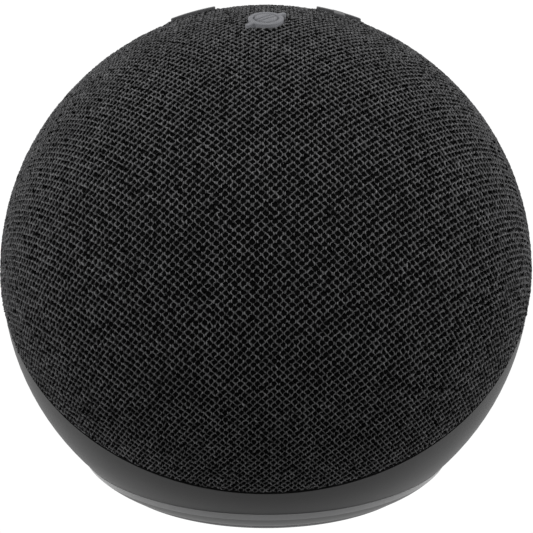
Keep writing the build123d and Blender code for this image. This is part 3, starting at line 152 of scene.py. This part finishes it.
def shifted(colour, factor):
    """A colour made darker or lighter."""
    return tuple(min(1.0, c * factor) for c in colour)


def noise(tree, coordinates, scale, detail=3.0, roughness=0.55):
    """A noise texture on object coordinates; scale is in waves per metre."""
    node = add(tree, "ShaderNodeTexNoise", {"Scale": scale, "Detail": detail, "Roughness": roughness})
    tree.links.new(coordinates, node.inputs["Vector"])
    return node.outputs["Fac"]


def bump(tree, height, distance, strength=1.0, normal=None):
    """A bump node fed by a height."""
    node = add(tree, "ShaderNodeBump", {"Distance": distance, "Strength": strength})
    tree.links.new(height, node.inputs["Height"])
    if normal is not None:
        tree.links.new(normal, node.inputs["Normal"])
    return node.outputs["Normal"]


def remap(tree, source, low, high):
    """Map a 0 to 1 value onto another range."""
    node = add(tree, "ShaderNodeMapRange", {"To Min": low, "To Max": high})
    tree.links.new(source, node.inputs["Value"])
    return node.outputs["Result"]


def shader(tree, colour, roughness, normal, **values):
    """The Principled shader of a finish and its output."""
    node = add(tree, "ShaderNodeBsdfPrincipled", {k.replace("_", " "): v for k, v in values.items()})
    tree.links.new(colour, node.inputs["Base Color"])
    tree.links.new(roughness, node.inputs["Roughness"])
    tree.links.new(normal, node.inputs["Normal"])
    out = tree.nodes.new("ShaderNodeOutputMaterial")
    tree.links.new(node.outputs["BSDF"], out.inputs["Surface"])
    return node


def moulded(name, colour, roughness, grain, depth, **values):
    """Moulded plastic or rubber: fine spark texture, slow colour drift and a little rubbing."""
    material, tree = new_material(name)
    place = add(tree, "ShaderNodeTexCoord").outputs["Object"]
    fine = noise(tree, place, grain, 2.0, 0.7)
    slow = noise(tree, place, 60.0, 4.0)
    tone = ramp(tree, slow, [(0.3, shifted(colour, 0.9)), (0.7, shifted(colour, 1.12))])
    rough = remap(tree, slow, roughness - 0.05, roughness + 0.05)
    shader(tree, tone, rough, bump(tree, fine, depth), **values)
    return material


def metal(name, colour, roughness, scratches, metallic=1.0, **values):
    """Bare or plated metal with fine directional scratches."""
    material, tree = new_material(name)
    place = add(tree, "ShaderNodeTexCoord").outputs["Object"]
    stretch = add(tree, "ShaderNodeMapping", {"Scale": (1.0, 1.0, 12.0)})
    tree.links.new(place, stretch.inputs["Vector"])
    lines = noise(tree, stretch.outputs["Vector"], scratches, 3.0, 0.7)
    cloud = noise(tree, place, 150.0, 3.0)
    tone = ramp(tree, cloud, [(0.3, shifted(colour, 0.88)), (0.7, shifted(colour, 1.08))])
    rough = remap(tree, lines, roughness - 0.08, roughness + 0.1)
    values.setdefault("Metallic", metallic)
    shader(tree, tone, rough, bump(tree, lines, 0.00001), **values)
    return material


def cloth(name, colour, threads, depth):
    """Woven or felted cloth from two crossed thread waves."""
    material, tree = new_material(name)
    place = add(tree, "ShaderNodeTexCoord").outputs["Object"]
    warp = add(tree, "ShaderNodeTexWave", {"Scale": threads, "Distortion": 0.6}, bands_direction="X")
    weft = add(tree, "ShaderNodeTexWave", {"Scale": threads, "Distortion": 0.6}, bands_direction="Z")
    for wave in (warp, weft):
        tree.links.new(place, wave.inputs["Vector"])
    both = add(tree, "ShaderNodeMath", operation="MULTIPLY")
    tree.links.new(warp.outputs["Fac"], both.inputs[0])
    tree.links.new(weft.outputs["Fac"], both.inputs[1])
    tone = ramp(tree, both.outputs["Value"], [(0.0, shifted(colour, 0.6)), (0.8, shifted(colour, 1.15))])
    rough = remap(tree, both.outputs["Value"], 0.95, 0.8)
    shader(tree, tone, rough, bump(tree, both.outputs["Value"], depth))
    return material


def circuit_board(name, colour):
    """Solder mask with faint copper tracks under it and a glass weave."""
    material, tree = new_material(name)
    place = add(tree, "ShaderNodeTexCoord").outputs["Object"]
    tracks = add(tree, "ShaderNodeTexBrick", {"Scale": 420.0, "Mortar Size": 0.06, "Color1": (*grey(0.0), 1),
                                              "Color2": (*grey(0.1), 1), "Mortar": (*grey(1.0), 1)})
    tree.links.new(place, tracks.inputs["Vector"])
    tone = ramp(tree, tracks.outputs["Color"], [(0.2, colour), (0.9, shifted(colour, 2.1))])
    weave = noise(tree, place, 2600.0, 2.0)
    rough = remap(tree, weave, 0.3, 0.42)
    shader(tree, tone, rough, bump(tree, tracks.outputs["Color"], 0.00002), Coat_Weight=0.3)
    return material


def yarn(name, low, high):
    """Dark textured yarn: painted light on top of each strand and painted shade down its sides and between
    strands, mottled, fibrous and soft.
    """
    material, tree = new_material(name)
    place = add(tree, "ShaderNodeTexCoord").outputs["Object"]
    # the crest attribute is painted light: full on a strand's top, painted shade in the valleys, none at its
    # feet and on the hem's fold
    level = add(tree, "ShaderNodeAttribute", attribute_name="crest").outputs["Fac"]
    fleck = noise(tree, place, 1300.0, 3.0, 0.7)
    patch = noise(tree, place, 140.0, 2.0, 0.5)
    mottle = add(tree, "ShaderNodeMath", {1: 1.0}, operation="ADD")
    tree.links.new(remap(tree, fleck, -1.3, 1.1), mottle.inputs[0])
    drift = add(tree, "ShaderNodeMath", operation="MULTIPLY")
    tree.links.new(mottle.outputs["Value"], drift.inputs[0])
    tree.links.new(remap(tree, patch, 0.7, 1.3), drift.inputs[1])
    # the power narrows the painted highlight along each strand's top
    narrow = add(tree, "ShaderNodeMath", {1: 2.4}, operation="POWER")
    tree.links.new(level, narrow.inputs[0])
    lift = add(tree, "ShaderNodeMath", operation="MULTIPLY")
    tree.links.new(drift.outputs["Value"], lift.inputs[0])
    tree.links.new(remap(tree, narrow.outputs["Value"], 0.03, 0.6), lift.inputs[1])
    tone = ramp(tree, lift.outputs["Value"], [(0.0, low), (1.0, high)])
    fibre = noise(tree, place, 9000.0, 2.0, 0.8)
    rough = remap(tree, fleck, 0.75, 0.95)
    shader(tree, tone, rough, bump(tree, fibre, 0.00004, 0.7), Specular_IOR_Level=0.03)
    return material


def milky(name, colour, body, polish=0.25):
    """Smoked milky plastic with a polished face that lets a little light in."""
    material, tree = new_material(name)
    place = add(tree, "ShaderNodeTexCoord").outputs["Object"]
    cloud = noise(tree, place, 90.0, 3.0)
    tone = ramp(tree, cloud, [(0.3, shifted(colour, 0.94)), (0.7, shifted(colour, 1.06))])
    rough = remap(tree, cloud, body - 0.03, body + 0.03)
    shader(tree, tone, rough, bump(tree, noise(tree, place, 2500.0, 2.0), 0.000004), Subsurface_Weight=0.35,
           Subsurface_Radius=(0.002, 0.002, 0.002), Subsurface_Scale=1.0, Coat_Weight=polish,
           Coat_Roughness=0.2)
    return material


def clear(name, colour):
    """Clear acrylic with a slightly frosted skin."""
    material, tree = new_material(name)
    place = add(tree, "ShaderNodeTexCoord").outputs["Object"]
    frost = noise(tree, place, 1800.0, 2.0)
    tone = ramp(tree, frost, [(0.3, shifted(colour, 0.96)), (0.7, colour)])
    shader(tree, tone, remap(tree, frost, 0.08, 0.2), bump(tree, frost, 0.000006),
           Transmission_Weight=0.85, IOR=1.49)
    return material


FINISHES = {
    "charcoal_knit": yarn("charcoal_knit", grey(0.003), (0.255, 0.255, 0.26)),
    "knit_back": moulded("knit_back", grey(0.004), 0.95, 2600.0, 0.00008, Specular_IOR_Level=0.02),
    "dome_plastic": moulded("dome_plastic", grey(0.012), 0.6, 3500.0, 0.00001),
    "housing_plastic": moulded("housing_plastic", (0.0062, 0.0062, 0.0065), 0.45, 5200.0, 0.000009,
                               Specular_IOR_Level=0.17),
    "ring_diffuser": milky("ring_diffuser", (0.043, 0.043, 0.0445), 0.34),
    # painted shade: a darker copy of the diffuser's finish for the ring's lower face, which faces the floor
    "ring_painted_shade": milky("ring_painted_shade", (0.006, 0.006, 0.0062), 0.5, 0.02),
    "clear_acrylic": clear("clear_acrylic", (0.85, 0.87, 0.88)),
    "foot_rubber": moulded("foot_rubber", (0.062, 0.062, 0.064), 0.72, 3200.0, 0.00002),
    "screw_steel": metal("screw_steel", grey(0.2), 0.35, 3000.0),
    "circuit_board": circuit_board("circuit_board", (0.012, 0.06, 0.035)),
    "lamp_white": moulded("lamp_white", (0.75, 0.75, 0.68), 0.25, 4000.0, 0.000004),
    "switch_plastic": moulded("switch_plastic", grey(0.02), 0.5, 4000.0, 0.000008),
    "sensor_metal": metal("sensor_metal", (0.62, 0.61, 0.58), 0.3, 2500.0),
    "soft_seal": moulded("soft_seal", grey(0.05), 0.95, 2200.0, 0.00012),
    "pressed_steel": metal("pressed_steel", grey(0.12), 0.4, 2200.0, 0.9),
    "ferrite": metal("ferrite", grey(0.06), 0.55, 900.0, 0.3),
    "copper_winding": metal("copper_winding", (0.6, 0.26, 0.1), 0.3, 9000.0),
    "cone_paper": cloth("cone_paper", grey(0.02), 300.0, 0.00004),
    "roll_rubber": moulded("roll_rubber", grey(0.015), 0.45, 3000.0, 0.000006),
    "spider_cloth": cloth("spider_cloth", (0.5, 0.3, 0.09), 500.0, 0.00008),
    "chip_epoxy": moulded("chip_epoxy", grey(0.013), 0.55, 6000.0, 0.000008),
    "sink_aluminium": metal("sink_aluminium", (0.7, 0.7, 0.71), 0.32, 1800.0),
    "ribbon_film": moulded("ribbon_film", (0.7, 0.71, 0.74), 0.35, 1500.0, 0.00001),
    "connector_plastic": moulded("connector_plastic", (0.66, 0.6, 0.46), 0.5, 4200.0, 0.000006),
    "wire_jacket": moulded("wire_jacket", (0.4, 0.02, 0.02), 0.4, 3000.0, 0.000006),
    "mute_key_plastic": moulded("mute_key_plastic", (0.125, 0.127, 0.137), 0.55, 5200.0, 0.000008,
                                Specular_IOR_Level=0.3),
    "key_plastic": moulded("key_plastic", (0.03, 0.03, 0.032), 0.55, 5200.0, 0.000008),
}


# ================================================================ the knit
def box_distance(x, y, length, width, corner):
    """Signed distance from a rounded rectangle centred on the origin."""
    dx = abs(x) - (length / 2 - corner)
    dy = abs(y) - (width / 2 - corner)
    outside = math.hypot(max(dx, 0.0), max(dy, 0.0))
    return outside + min(max(dx, dy), 0.0) - corner


def key_distance(x, y):
    """Signed distance from the nearest key's outline, seen from above."""
    minus = box_distance(x + KEY_CIRCLE, y, BAR_LENGTH, BAR_WIDTH, BAR_CORNER)
    plus_x = box_distance(x - KEY_CIRCLE, y, BAR_LENGTH, BAR_WIDTH, BAR_CORNER)
    plus_y = box_distance(x - KEY_CIRCLE, y, BAR_WIDTH, BAR_LENGTH, BAR_CORNER)
    dot = math.hypot(x, y - KEY_CIRCLE) - ROUND_KEY_R
    disc = math.hypot(x, y + KEY_CIRCLE) - ROUND_KEY_R
    along = x * math.cos(SLASH_TURN) + (y + KEY_CIRCLE) * math.sin(SLASH_TURN)
    across = (y + KEY_CIRCLE) * math.cos(SLASH_TURN) - x * math.sin(SLASH_TURN)
    slash = box_distance(along, across, SLASH_LENGTH, SLASH_WIDTH, SLASH_WIDTH / 3)
    return min(minus, plus_x, plus_y, dot, disc, slash)


def clear_of_keys(point):
    """Move a point of the knit off the keys, and up where the knit climbs the side of a key."""
    if point.z < CENTRE.z + KEY_ZONE_Z:
        return point
    step = 0.02 * MM
    for _ in range(6):
        away = KNIT_KEY_GAP - key_distance(point.x, point.y)
        if away <= 0:
            break
        gx = key_distance(point.x + step, point.y) - key_distance(point.x - step, point.y)
        gy = key_distance(point.x, point.y + step) - key_distance(point.x, point.y - step)
        size = math.hypot(gx, gy) or 1.0
        point = Vector((point.x + away * gx / size, point.y + away * gy / size, point.z))
    near = 1.0 - min(1.0, max(0.0, key_distance(point.x, point.y)) / KEY_LIP_REACH)
    lip = ACTION_LIP if point.y > KEY_CIRCLE / 2 and abs(point.x) < KEY_CIRCLE / 2 else KEY_LIP
    lift = lip * near * near * (3.0 - 2.0 * near)
    return point + (point - CENTRE).normalized() * lift


DOME_SIDE = Vector((1.0, 0.0, 0.0))
DOME_DOWN = SEAM_NORMAL.cross(DOME_SIDE)
if DOME_DOWN.z > 0:
    DOME_DOWN.negate()


def polar_from_flat(x, y):
    """Where a point of the flat knit lies on the dome: angle from the dome's middle, and turn round it."""
    u = x / BALL_R
    v = y / BALL_R
    theta = math.hypot(u, v)
    for _ in range(12):
        side = theta - SIDE_STRETCH * (theta - math.sin(theta))
        if side < 1e-9:
            break
        theta = math.hypot(u * theta / side, v)
    side = max(theta - SIDE_STRETCH * (theta - math.sin(theta)), 1e-9)
    return theta, math.atan2(u / side, v / max(theta, 1e-9))


def on_dome(x, y, radius):
    """A flat knit point placed on the dome at a radius; past the edge it folds into the groove."""
    theta, turn = polar_from_flat(x, y)
    past = (theta - FOLD_START) * BALL_R
    direction = DOME_SIDE * math.sin(turn) + DOME_DOWN * math.cos(turn)
    if past <= 0:
        return CENTRE + (SEAM_NORMAL * math.cos(theta) + direction * math.sin(theta)) * radius
    lift = radius - BALL_R
    bend = min(past / HEM_TURN, math.pi / 2)
    outward = SEAM_NORMAL * math.cos(FOLD_START) + direction * math.sin(FOLD_START)
    downward = direction * math.cos(FOLD_START) - SEAM_NORMAL * math.sin(FOLD_START)
    turn_r = max(HEM_TURN + lift, HEM_TURN / 8)
    point = outward * (BALL_R - HEM_TURN) + (outward * math.cos(bend) + downward * math.sin(bend)) * turn_r
    straight = max(0.0, past - HEM_TURN * math.pi / 2)
    return CENTRE + point - outward * min(straight, HEM_REACH)


def knit_vertex(cache, draw, kind, line, row, x, y, radius, level):
    """One vertex of the knit, made once however many strands share it."""
    key = (kind, line, row)
    if key not in cache:
        x += draw.gauss(0, YARN_WANDER)
        y += draw.gauss(0, YARN_WANDER)
        loose = on_dome(x, y, radius)
        theta = polar_from_flat(x, y)[0]
        # painted shade: past the start of the fold the knit gets no painted light, as the hem rolls under
        # into shade
        if theta > FOLD_START + HEM_TURN / 2 / BALL_R:
            level = 0.0
        cache[key] = (clear_of_keys(loose), level, loose, theta)
    return key


def strand_level(cache, draw, strand, row, side):
    """Left foot, crest and right foot of a strand, just below (-1) or above (+1) a row's middle."""
    left = strand * WALE / 2
    right = left + WALE / 2
    y = row * COURSE / 2
    straight = y + side * STRAIGHT_H
    tied = y + side * TIP_H
    top = STRAND_TOP_R - draw.uniform(0.0, YARN_SLACK)

    def vertex(kind, line, x, height, radius, level):
        """One corner of this strand's cross-section."""
        return knit_vertex(cache, draw, kind + side, line, row, x, height, radius, level)

    # the last number of each corner is its painted light: full on the crest, painted shade between strands,
    # none at the feet
    if (row - strand) % 2:
        return (vertex(0, strand, left, tied, VALLEY_R, VALLEY_PAINTED_SHADE),
                vertex(4, strand, left + STRAND_OFF, straight, top, 1.0),
                vertex(8, strand, right - OPENING_HALF_W, straight, STRAND_FOOT_R, 0.0))
    return (vertex(12, strand, left + OPENING_HALF_W, straight, STRAND_FOOT_R, 0.0),
            vertex(4, strand, right - STRAND_OFF, straight, top, 1.0),
            vertex(0, strand + 1, right, tied, VALLEY_R, VALLEY_PAINTED_SHADE))


def spread_map(mesh):
    """A flat map of a knit piece, spread round the middle of the dome."""
    flat = []
    for vertex in mesh.vertices:
        out = (vertex.co - CENTRE).normalized()
        angle = out.angle(SEAM_NORMAL)
        turn = math.atan2(out.dot(DOME_SIDE), out.dot(DOME_DOWN))
        share = angle / (2 * math.pi)
        flat.append((0.5 + share * math.sin(turn), 0.5 + share * math.cos(turn)))
    layer = mesh.uv_layers.new(name="OFBake")
    for loop in mesh.loops:
        layer.data[loop.index].uv = flat[loop.vertex_index]


def linked_piece(name, verts, faces, crest):
    """A new mesh piece, its faces turned outward."""
    mesh = bpy.data.meshes.new(name)
    mesh.from_pydata(verts, [], faces)
    spread_map(mesh)
    # the crest attribute carries each vertex's painted light for the yarn's colour
    mesh.attributes.new("crest", "FLOAT", "POINT").data.foreach_set("value", crest)
    piece = bpy.data.objects.new(name, mesh)
    bpy.context.scene.collection.objects.link(piece)
    only(piece)
    if sum((face.center - CENTRE).dot(face.normal) for face in mesh.polygons) < 0:
        mesh.flip_normals()
    bpy.ops.object.shade_smooth()
    return piece


def knit_strands(name, cache, draw, strands):
    """Some of the knit's zigzag strands, each a ridge running down the dome and tied to its neighbours."""
    rows = int(BALL_R * KNIT_REACH / (COURSE / 2))
    numbers, verts, faces, crest = {}, [], [], []

    def number(key):
        """This piece's own number for a shared vertex."""
        if key not in numbers:
            numbers[key] = len(verts)
            verts.append(cache[key][0])
            crest.append(cache[key][1])
        return numbers[key]

    for strand in strands:
        last = None
        for row in range(-rows, rows + 1):
            for side in (-1, 1):
                if polar_from_flat(strand * WALE / 2, row * COURSE / 2)[0] > KNIT_END + WALE / BALL_R:
                    last = None
                    continue
                level = strand_level(cache, draw, strand, row, side)
                if last and all(cache[key][3] < KNIT_END for key in last + level):
                    for k in (0, 1):
                        corners = (last[k], last[k + 1], level[k + 1], level[k])
                        if not all(under_key(cache[key][2]) for key in corners):
                            faces.append([number(key) for key in corners])
                last = level
    return linked_piece(name, verts, faces, crest)


def under_key(place):
    """Whether a place on the dome is where a key comes through."""
    return place.z > CENTRE.z + KEY_ZONE_Z and key_distance(place.x, place.y) < KNIT_KEY_GAP


def knit_back(name):
    """The closed layer of yarn behind the strands."""
    rows = int(BALL_R * KNIT_REACH / COURSE)
    numbers, verts, faces = {}, [], []
    flat = {}
    for row in range(-rows, rows + 1):
        for column in range(-rows, rows + 1):
            x, y = column * WALE, row * COURSE
            if polar_from_flat(x, y)[0] < KNIT_END + WALE / BALL_R:
                flat[row, column] = on_dome(x, y, BACK_LAYER_R)
    for row, column in flat:
        corners = [(row, column), (row, column + 1), (row + 1, column + 1), (row + 1, column)]
        if any(c not in flat for c in corners) or all(under_key(flat[c]) for c in corners):
            continue
        for c in corners:
            if c not in numbers:
                numbers[c] = len(verts)
                verts.append(clear_of_keys(flat[c]))
        faces.append([numbers[c] for c in corners])
    return linked_piece(name, verts, faces, [0.0] * len(verts))


def make_knit():
    """The stretched cover: strands in two halves on one closed layer."""
    cache, draw = {}, random.Random(11)
    reach = int(BALL_R * KNIT_REACH / (WALE / 2))
    back = finish_piece(knit_back("knit_cover_back"), "hub_body", "charcoal_knit", "knit_cover")
    back.data.materials[0] = FINISHES["knit_back"]
    for name, strands in (("knit_cover_left", range(-reach, 0)), ("knit_cover_right", range(0, reach))):
        strands_piece = knit_strands(name, cache, draw, strands)
        finish_piece(strands_piece, "hub_body", "charcoal_knit", "knit_cover")


# ================================================================ turned pieces
def lathe(name, profile, steps, closed=True):
    """Turn a piece about the hub's axis by extruding a circle from point to point of its profile."""
    radius, height = profile[0]
    bpy.ops.object.select_all(action="DESELECT")
    bpy.ops.mesh.primitive_circle_add(vertices=steps, radius=radius, location=(0, 0, height))
    piece = bpy.context.object
    piece.name = name
    piece.data.name = name
    bpy.ops.object.transform_apply(location=True, rotation=True, scale=True)
    bpy.ops.object.mode_set(mode="EDIT")
    bpy.ops.mesh.select_mode(type="VERT")
    bpy.ops.mesh.select_all(action="SELECT")
    points = profile[1:] + ([profile[0]] if closed else [])
    for new_radius, new_height in points:
        bpy.ops.mesh.extrude_edges_move(TRANSFORM_OT_translate={"value": (0, 0, new_height - height)})
        factor = new_radius / radius
        bpy.ops.transform.resize(value=(factor, factor, 1), center_override=(0, 0, new_height))
        radius, height = new_radius, new_height
    if not closed:
        bpy.ops.mesh.edge_face_add()
        bpy.ops.mesh.select_all(action="DESELECT")
        bpy.ops.object.mode_set(mode="OBJECT")
        first = profile[0]
        for vertex in piece.data.vertices:
            at_start = abs(vertex.co.z - first[1]) < 1e-7
            vertex.select = at_start and abs(vertex.co.xy.length - first[0]) < 1e-6
        bpy.ops.object.mode_set(mode="EDIT")
        bpy.ops.mesh.edge_face_add()
    bpy.ops.mesh.select_all(action="SELECT")
    bpy.ops.mesh.remove_doubles(threshold=0.000001)
    bpy.ops.mesh.normals_make_consistent(inside=False)
    bpy.ops.object.mode_set(mode="OBJECT")
    bpy.ops.object.shade_smooth_by_angle(angle=math.radians(28))
    return piece


def arc_points(start, middle, end, count):
    """Points along the circle through three (radius, height) points."""
    ax, ay = start
    bx, by = middle
    cx, cy = end
    d = 2 * (ax * (by - cy) + bx * (cy - ay) + cx * (ay - by))
    ux = ((ax**2 + ay**2) * (by - cy) + (bx**2 + by**2) * (cy - ay) + (cx**2 + cy**2) * (ay - by)) / d
    uy = ((ax**2 + ay**2) * (cx - bx) + (bx**2 + by**2) * (ax - cx) + (cx**2 + cy**2) * (bx - ax)) / d
    radius = math.hypot(ax - ux, ay - uy)
    a0 = math.atan2(ay - uy, ax - ux)
    a1 = math.atan2(cy - uy, cx - ux)
    turns = [a0 + (a1 - a0) * i / count for i in range(count + 1)]
    return [(ux + radius * math.cos(t), uy + radius * math.sin(t)) for t in turns]


def make_light_ring():
    """The milky diffuser with its crease and rolled lower face, the lower face darkened with painted shade.
    """
    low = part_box("light_ring")[0]
    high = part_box("light_ring")[1]
    top_r = high.x
    crease = (35.42 * MM, 3.65 * MM)
    belly = (33.95 * MM, 2.25 * MM)
    foot_edge = (32.25 * MM, low.z)
    seat_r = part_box("base_plate")[1].x + 0.05 * MM
    lip_low = low.z + 1.2 * MM
    lip_top = lip_low + 1.0 * MM
    lip_r = 29.6 * MM
    round_r = 0.12 * MM
    profile = [(top_r - round_r, high.z), (top_r - round_r * 0.2, high.z - round_r)]
    profile += [(crease[0] + 0.12 * MM, crease[1] + 0.16 * MM), crease]
    profile += arc_points(crease, belly, foot_edge, 14)[1:]
    profile += [(seat_r, low.z), (seat_r, lip_low), (lip_r, lip_low), (lip_r, lip_top)]
    profile += [(31.9 * MM, lip_top), (top_r - 2.4 * MM, high.z)]
    ring = finish_piece(lathe("light_ring_diffuser", profile, 256), "hub_body", "ring_diffuser", "light_ring")
    ring.data.materials.append(FINISHES["ring_painted_shade"])
    # painted shade: outer faces below the crease take the darker copy of the finish
    for face in ring.data.polygons:
        if face.center.z < crease[1] and face.center.xy.length > seat_r:
            face.material_index = 1
    return ring


def make_foot():
    """The rubber foot with its flared rim, soft edges and a recess."""
    top_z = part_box("rubber_foot")[1].z
    rim_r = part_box("rubber_foot")[1].x
    sole_r = 30.9 * MM
    rim_z = top_z - 0.2 * MM
    recess_r = 21.0 * MM
    recess_d = 0.3 * MM
    soft = 0.12 * MM
    profile = [(4.0 * MM, recess_d), (recess_r - soft, recess_d), (recess_r, recess_d - soft),
               (recess_r, soft), (recess_r + soft, 0.0), (sole_r - soft, 0.0), (sole_r, soft),
               (rim_r, rim_z - soft), (rim_r - soft, rim_z), (31.0 * MM, rim_z), (31.0 * MM, top_z),
               (4.0 * MM, top_z)]
    foot = lathe("rubber_foot_pad", profile, 192, closed=False)
    return finish_piece(foot, "hub_body", "foot_rubber", "rubber_foot")


# ================================================================ pieces refined from the frame
def refined(node, name, ball_radii=(), longest=1.6 * MM):
    """A merged copy of a CAD node, its round faces divided finely and laid on their true ball."""
    source = frame["nodes"][node]
    mesh = source.data.copy()
    mesh.name = name
    mesh.materials.clear()
    piece = bpy.data.objects.new(name, mesh)
    bpy.context.scene.collection.objects.link(piece)
    work = bmesh.new()
    work.from_mesh(mesh)
    bmesh.ops.remove_doubles(work, verts=work.verts, dist=0.0000005)
    near = 0.00002

    def ball_of(vertex):
        """The ball surface that a vertex lies on, if any."""
        away = (vertex.co - CENTRE).length
        return next((r for r in ball_radii if abs(away - r) < near), None)

    for _ in range(5 if ball_radii else 0):
        on_ball = {v: ball_of(v) for v in work.verts}
        long_edges = [e for e in work.edges if e.calc_length() > longest
                      and on_ball[e.verts[0]] and on_ball[e.verts[0]] == on_ball[e.verts[1]]]
        if not long_edges:
            break
        kept = {v for v in work.verts}
        radii = {frozenset(e.verts): on_ball[e.verts[0]] for e in long_edges}
        made = bmesh.ops.subdivide_edges(work, edges=long_edges, cuts=1)
        for element in made["geom_inner"]:
            if isinstance(element, bmesh.types.BMVert) and element not in kept:
                ends = [e.other_vert(element) for e in element.link_edges]
                found = [radii[frozenset((a, b))] for a in ends for b in ends if frozenset((a, b)) in radii]
                if found:
                    element.co = CENTRE + (element.co - CENTRE).normalized() * found[0]
        bmesh.ops.triangulate(work, faces=[f for f in work.faces if len(f.verts) > 3])
    work.to_mesh(mesh)
    work.free()
    only(piece)
    bpy.ops.object.shade_smooth_by_angle(angle=math.radians(24))
    return piece


def make_housing():
    """The satin lower housing."""
    piece = refined("lower_housing", "lower_housing_shell", (HOUSING_R,))
    return finish_piece(piece, "hub_body", "housing_plastic", "lower_housing")


def make_keys():
    """The four keys, each riding with its switch."""
    for key in ("mute", "volume_down", "volume_up", "action"):
        piece = refined(f"{key}_key", f"{key}_key_cap")
        slot = "mute_key_plastic" if key == "mute" else "key_plastic"
        finish_piece(piece, f"{key}_button", slot, f"{key}_key")


def make_sockets():
    """The two sockets in the recess at the back."""
    for node in ("dc_jack", "audio_jack"):
        finish_piece(refined(node, f"{node}_socket"), "hub_body", "switch_plastic", node)


def paint_frame():
    """Give every node that is still shown its own finish."""
    slots = {s["node"]: s["material_slot"] for s in frame["record"]["subparts"]}
    for node, obj in frame["nodes"].items():
        finish = FINISHES[slots[node]]
        if obj.material_slots:
            for slot in obj.material_slots:
                slot.material = finish
        else:
            obj.data.materials.append(finish)


# ================================================================ floor, light and camera
def make_floor():
    """A plain pale floor."""
    bpy.ops.object.select_all(action="DESELECT")
    bpy.ops.mesh.primitive_plane_add(size=12.0, location=(0, 0, 0))
    floor = bpy.context.object
    floor.name = "floor"
    material, tree = new_material("white_floor")
    place = add(tree, "ShaderNodeTexCoord").outputs["Object"]
    tone = ramp(tree, noise(tree, place, 3.0), [(0.0, grey(0.97)), (1.0, grey(1.0))])
    glow = add(tree, "ShaderNodeEmission", {"Strength": 1.05})
    tree.links.new(tone, glow.inputs["Color"])
    out = tree.nodes.new("ShaderNodeOutputMaterial")
    tree.links.new(glow.outputs["Emission"], out.inputs["Surface"])
    floor.data.materials.append(material)


def make_card():
    """A matt black card that lies in front of the hub, just out of view, and darkens its lower front."""
    bpy.ops.object.select_all(action="DESELECT")
    bpy.ops.mesh.primitive_plane_add(size=1.0, location=(0, -0.3, 0.0005))
    card = bpy.context.object
    card.name = "black_card"
    bpy.ops.transform.resize(value=(0.5, 0.5, 1.0))
    bpy.ops.object.transform_apply(location=True, rotation=True, scale=True)
    card.data.materials.append(moulded("black_card", grey(0.02), 0.9, 900.0, 0.0001))


def soft_light(name, place, size, watts, aim=None):
    """A rectangular soft lamp aimed at the ball."""
    data = bpy.data.lights.new(name, "AREA")
    data.shape = "RECTANGLE"
    data.size, data.size_y = size
    data.energy = watts
    lamp = bpy.data.objects.new(name, data)
    bpy.context.scene.collection.objects.link(lamp)
    lamp.location = place
    target = aim or CENTRE
    lamp.rotation_euler = (target - Vector(place)).to_track_quat("-Z", "Y").to_euler()
    return lamp


def make_light():
    """A white room and soft lamps at both sides and above."""
    world = bpy.data.worlds.new("white_room")
    bpy.context.scene.world = world
    world.use_nodes = True
    background = world.node_tree.nodes["Background"]
    background.inputs["Color"].default_value = (1.0, 1.0, 1.0, 1.0)
    background.inputs["Strength"].default_value = 1.0
    soft_light("left_softbox", (-0.75, -0.15, 0.35), (0.6, 0.8), 2.5)
    soft_light("right_softbox", (0.75, -0.15, 0.35), (0.6, 0.8), 2.5)
    soft_light("top_softbox", (0.0, -0.2, 0.9), (0.8, 0.8), 1.5)
    bpy.context.scene.view_settings.view_transform = "Standard"


def make_camera():
    """The camera, in front of the hub and a little above it."""
    distance = 267.9 * MM
    elevation = math.radians(14.85)
    data = bpy.data.cameras.new("camera")
    data.sensor_width = 36.0
    data.lens = 94.7
    data.shift_x = 0.0011
    data.shift_y = 0.0077
    data.clip_start = 0.01
    camera = bpy.data.objects.new("camera", data)
    bpy.context.scene.collection.objects.link(camera)
    camera.location = CENTRE + Vector((0.0, -math.cos(elevation), math.sin(elevation))) * distance
    camera.rotation_euler = (CENTRE - camera.location).to_track_quat("-Z", "Y").to_euler()
    bpy.context.scene.camera = camera


make_camera()
make_light()
make_floor()
make_card()
make_knit()
make_light_ring()
make_foot()
make_housing()
make_keys()
make_sockets()
paint_frame()

bpy.context.view_layer.update()
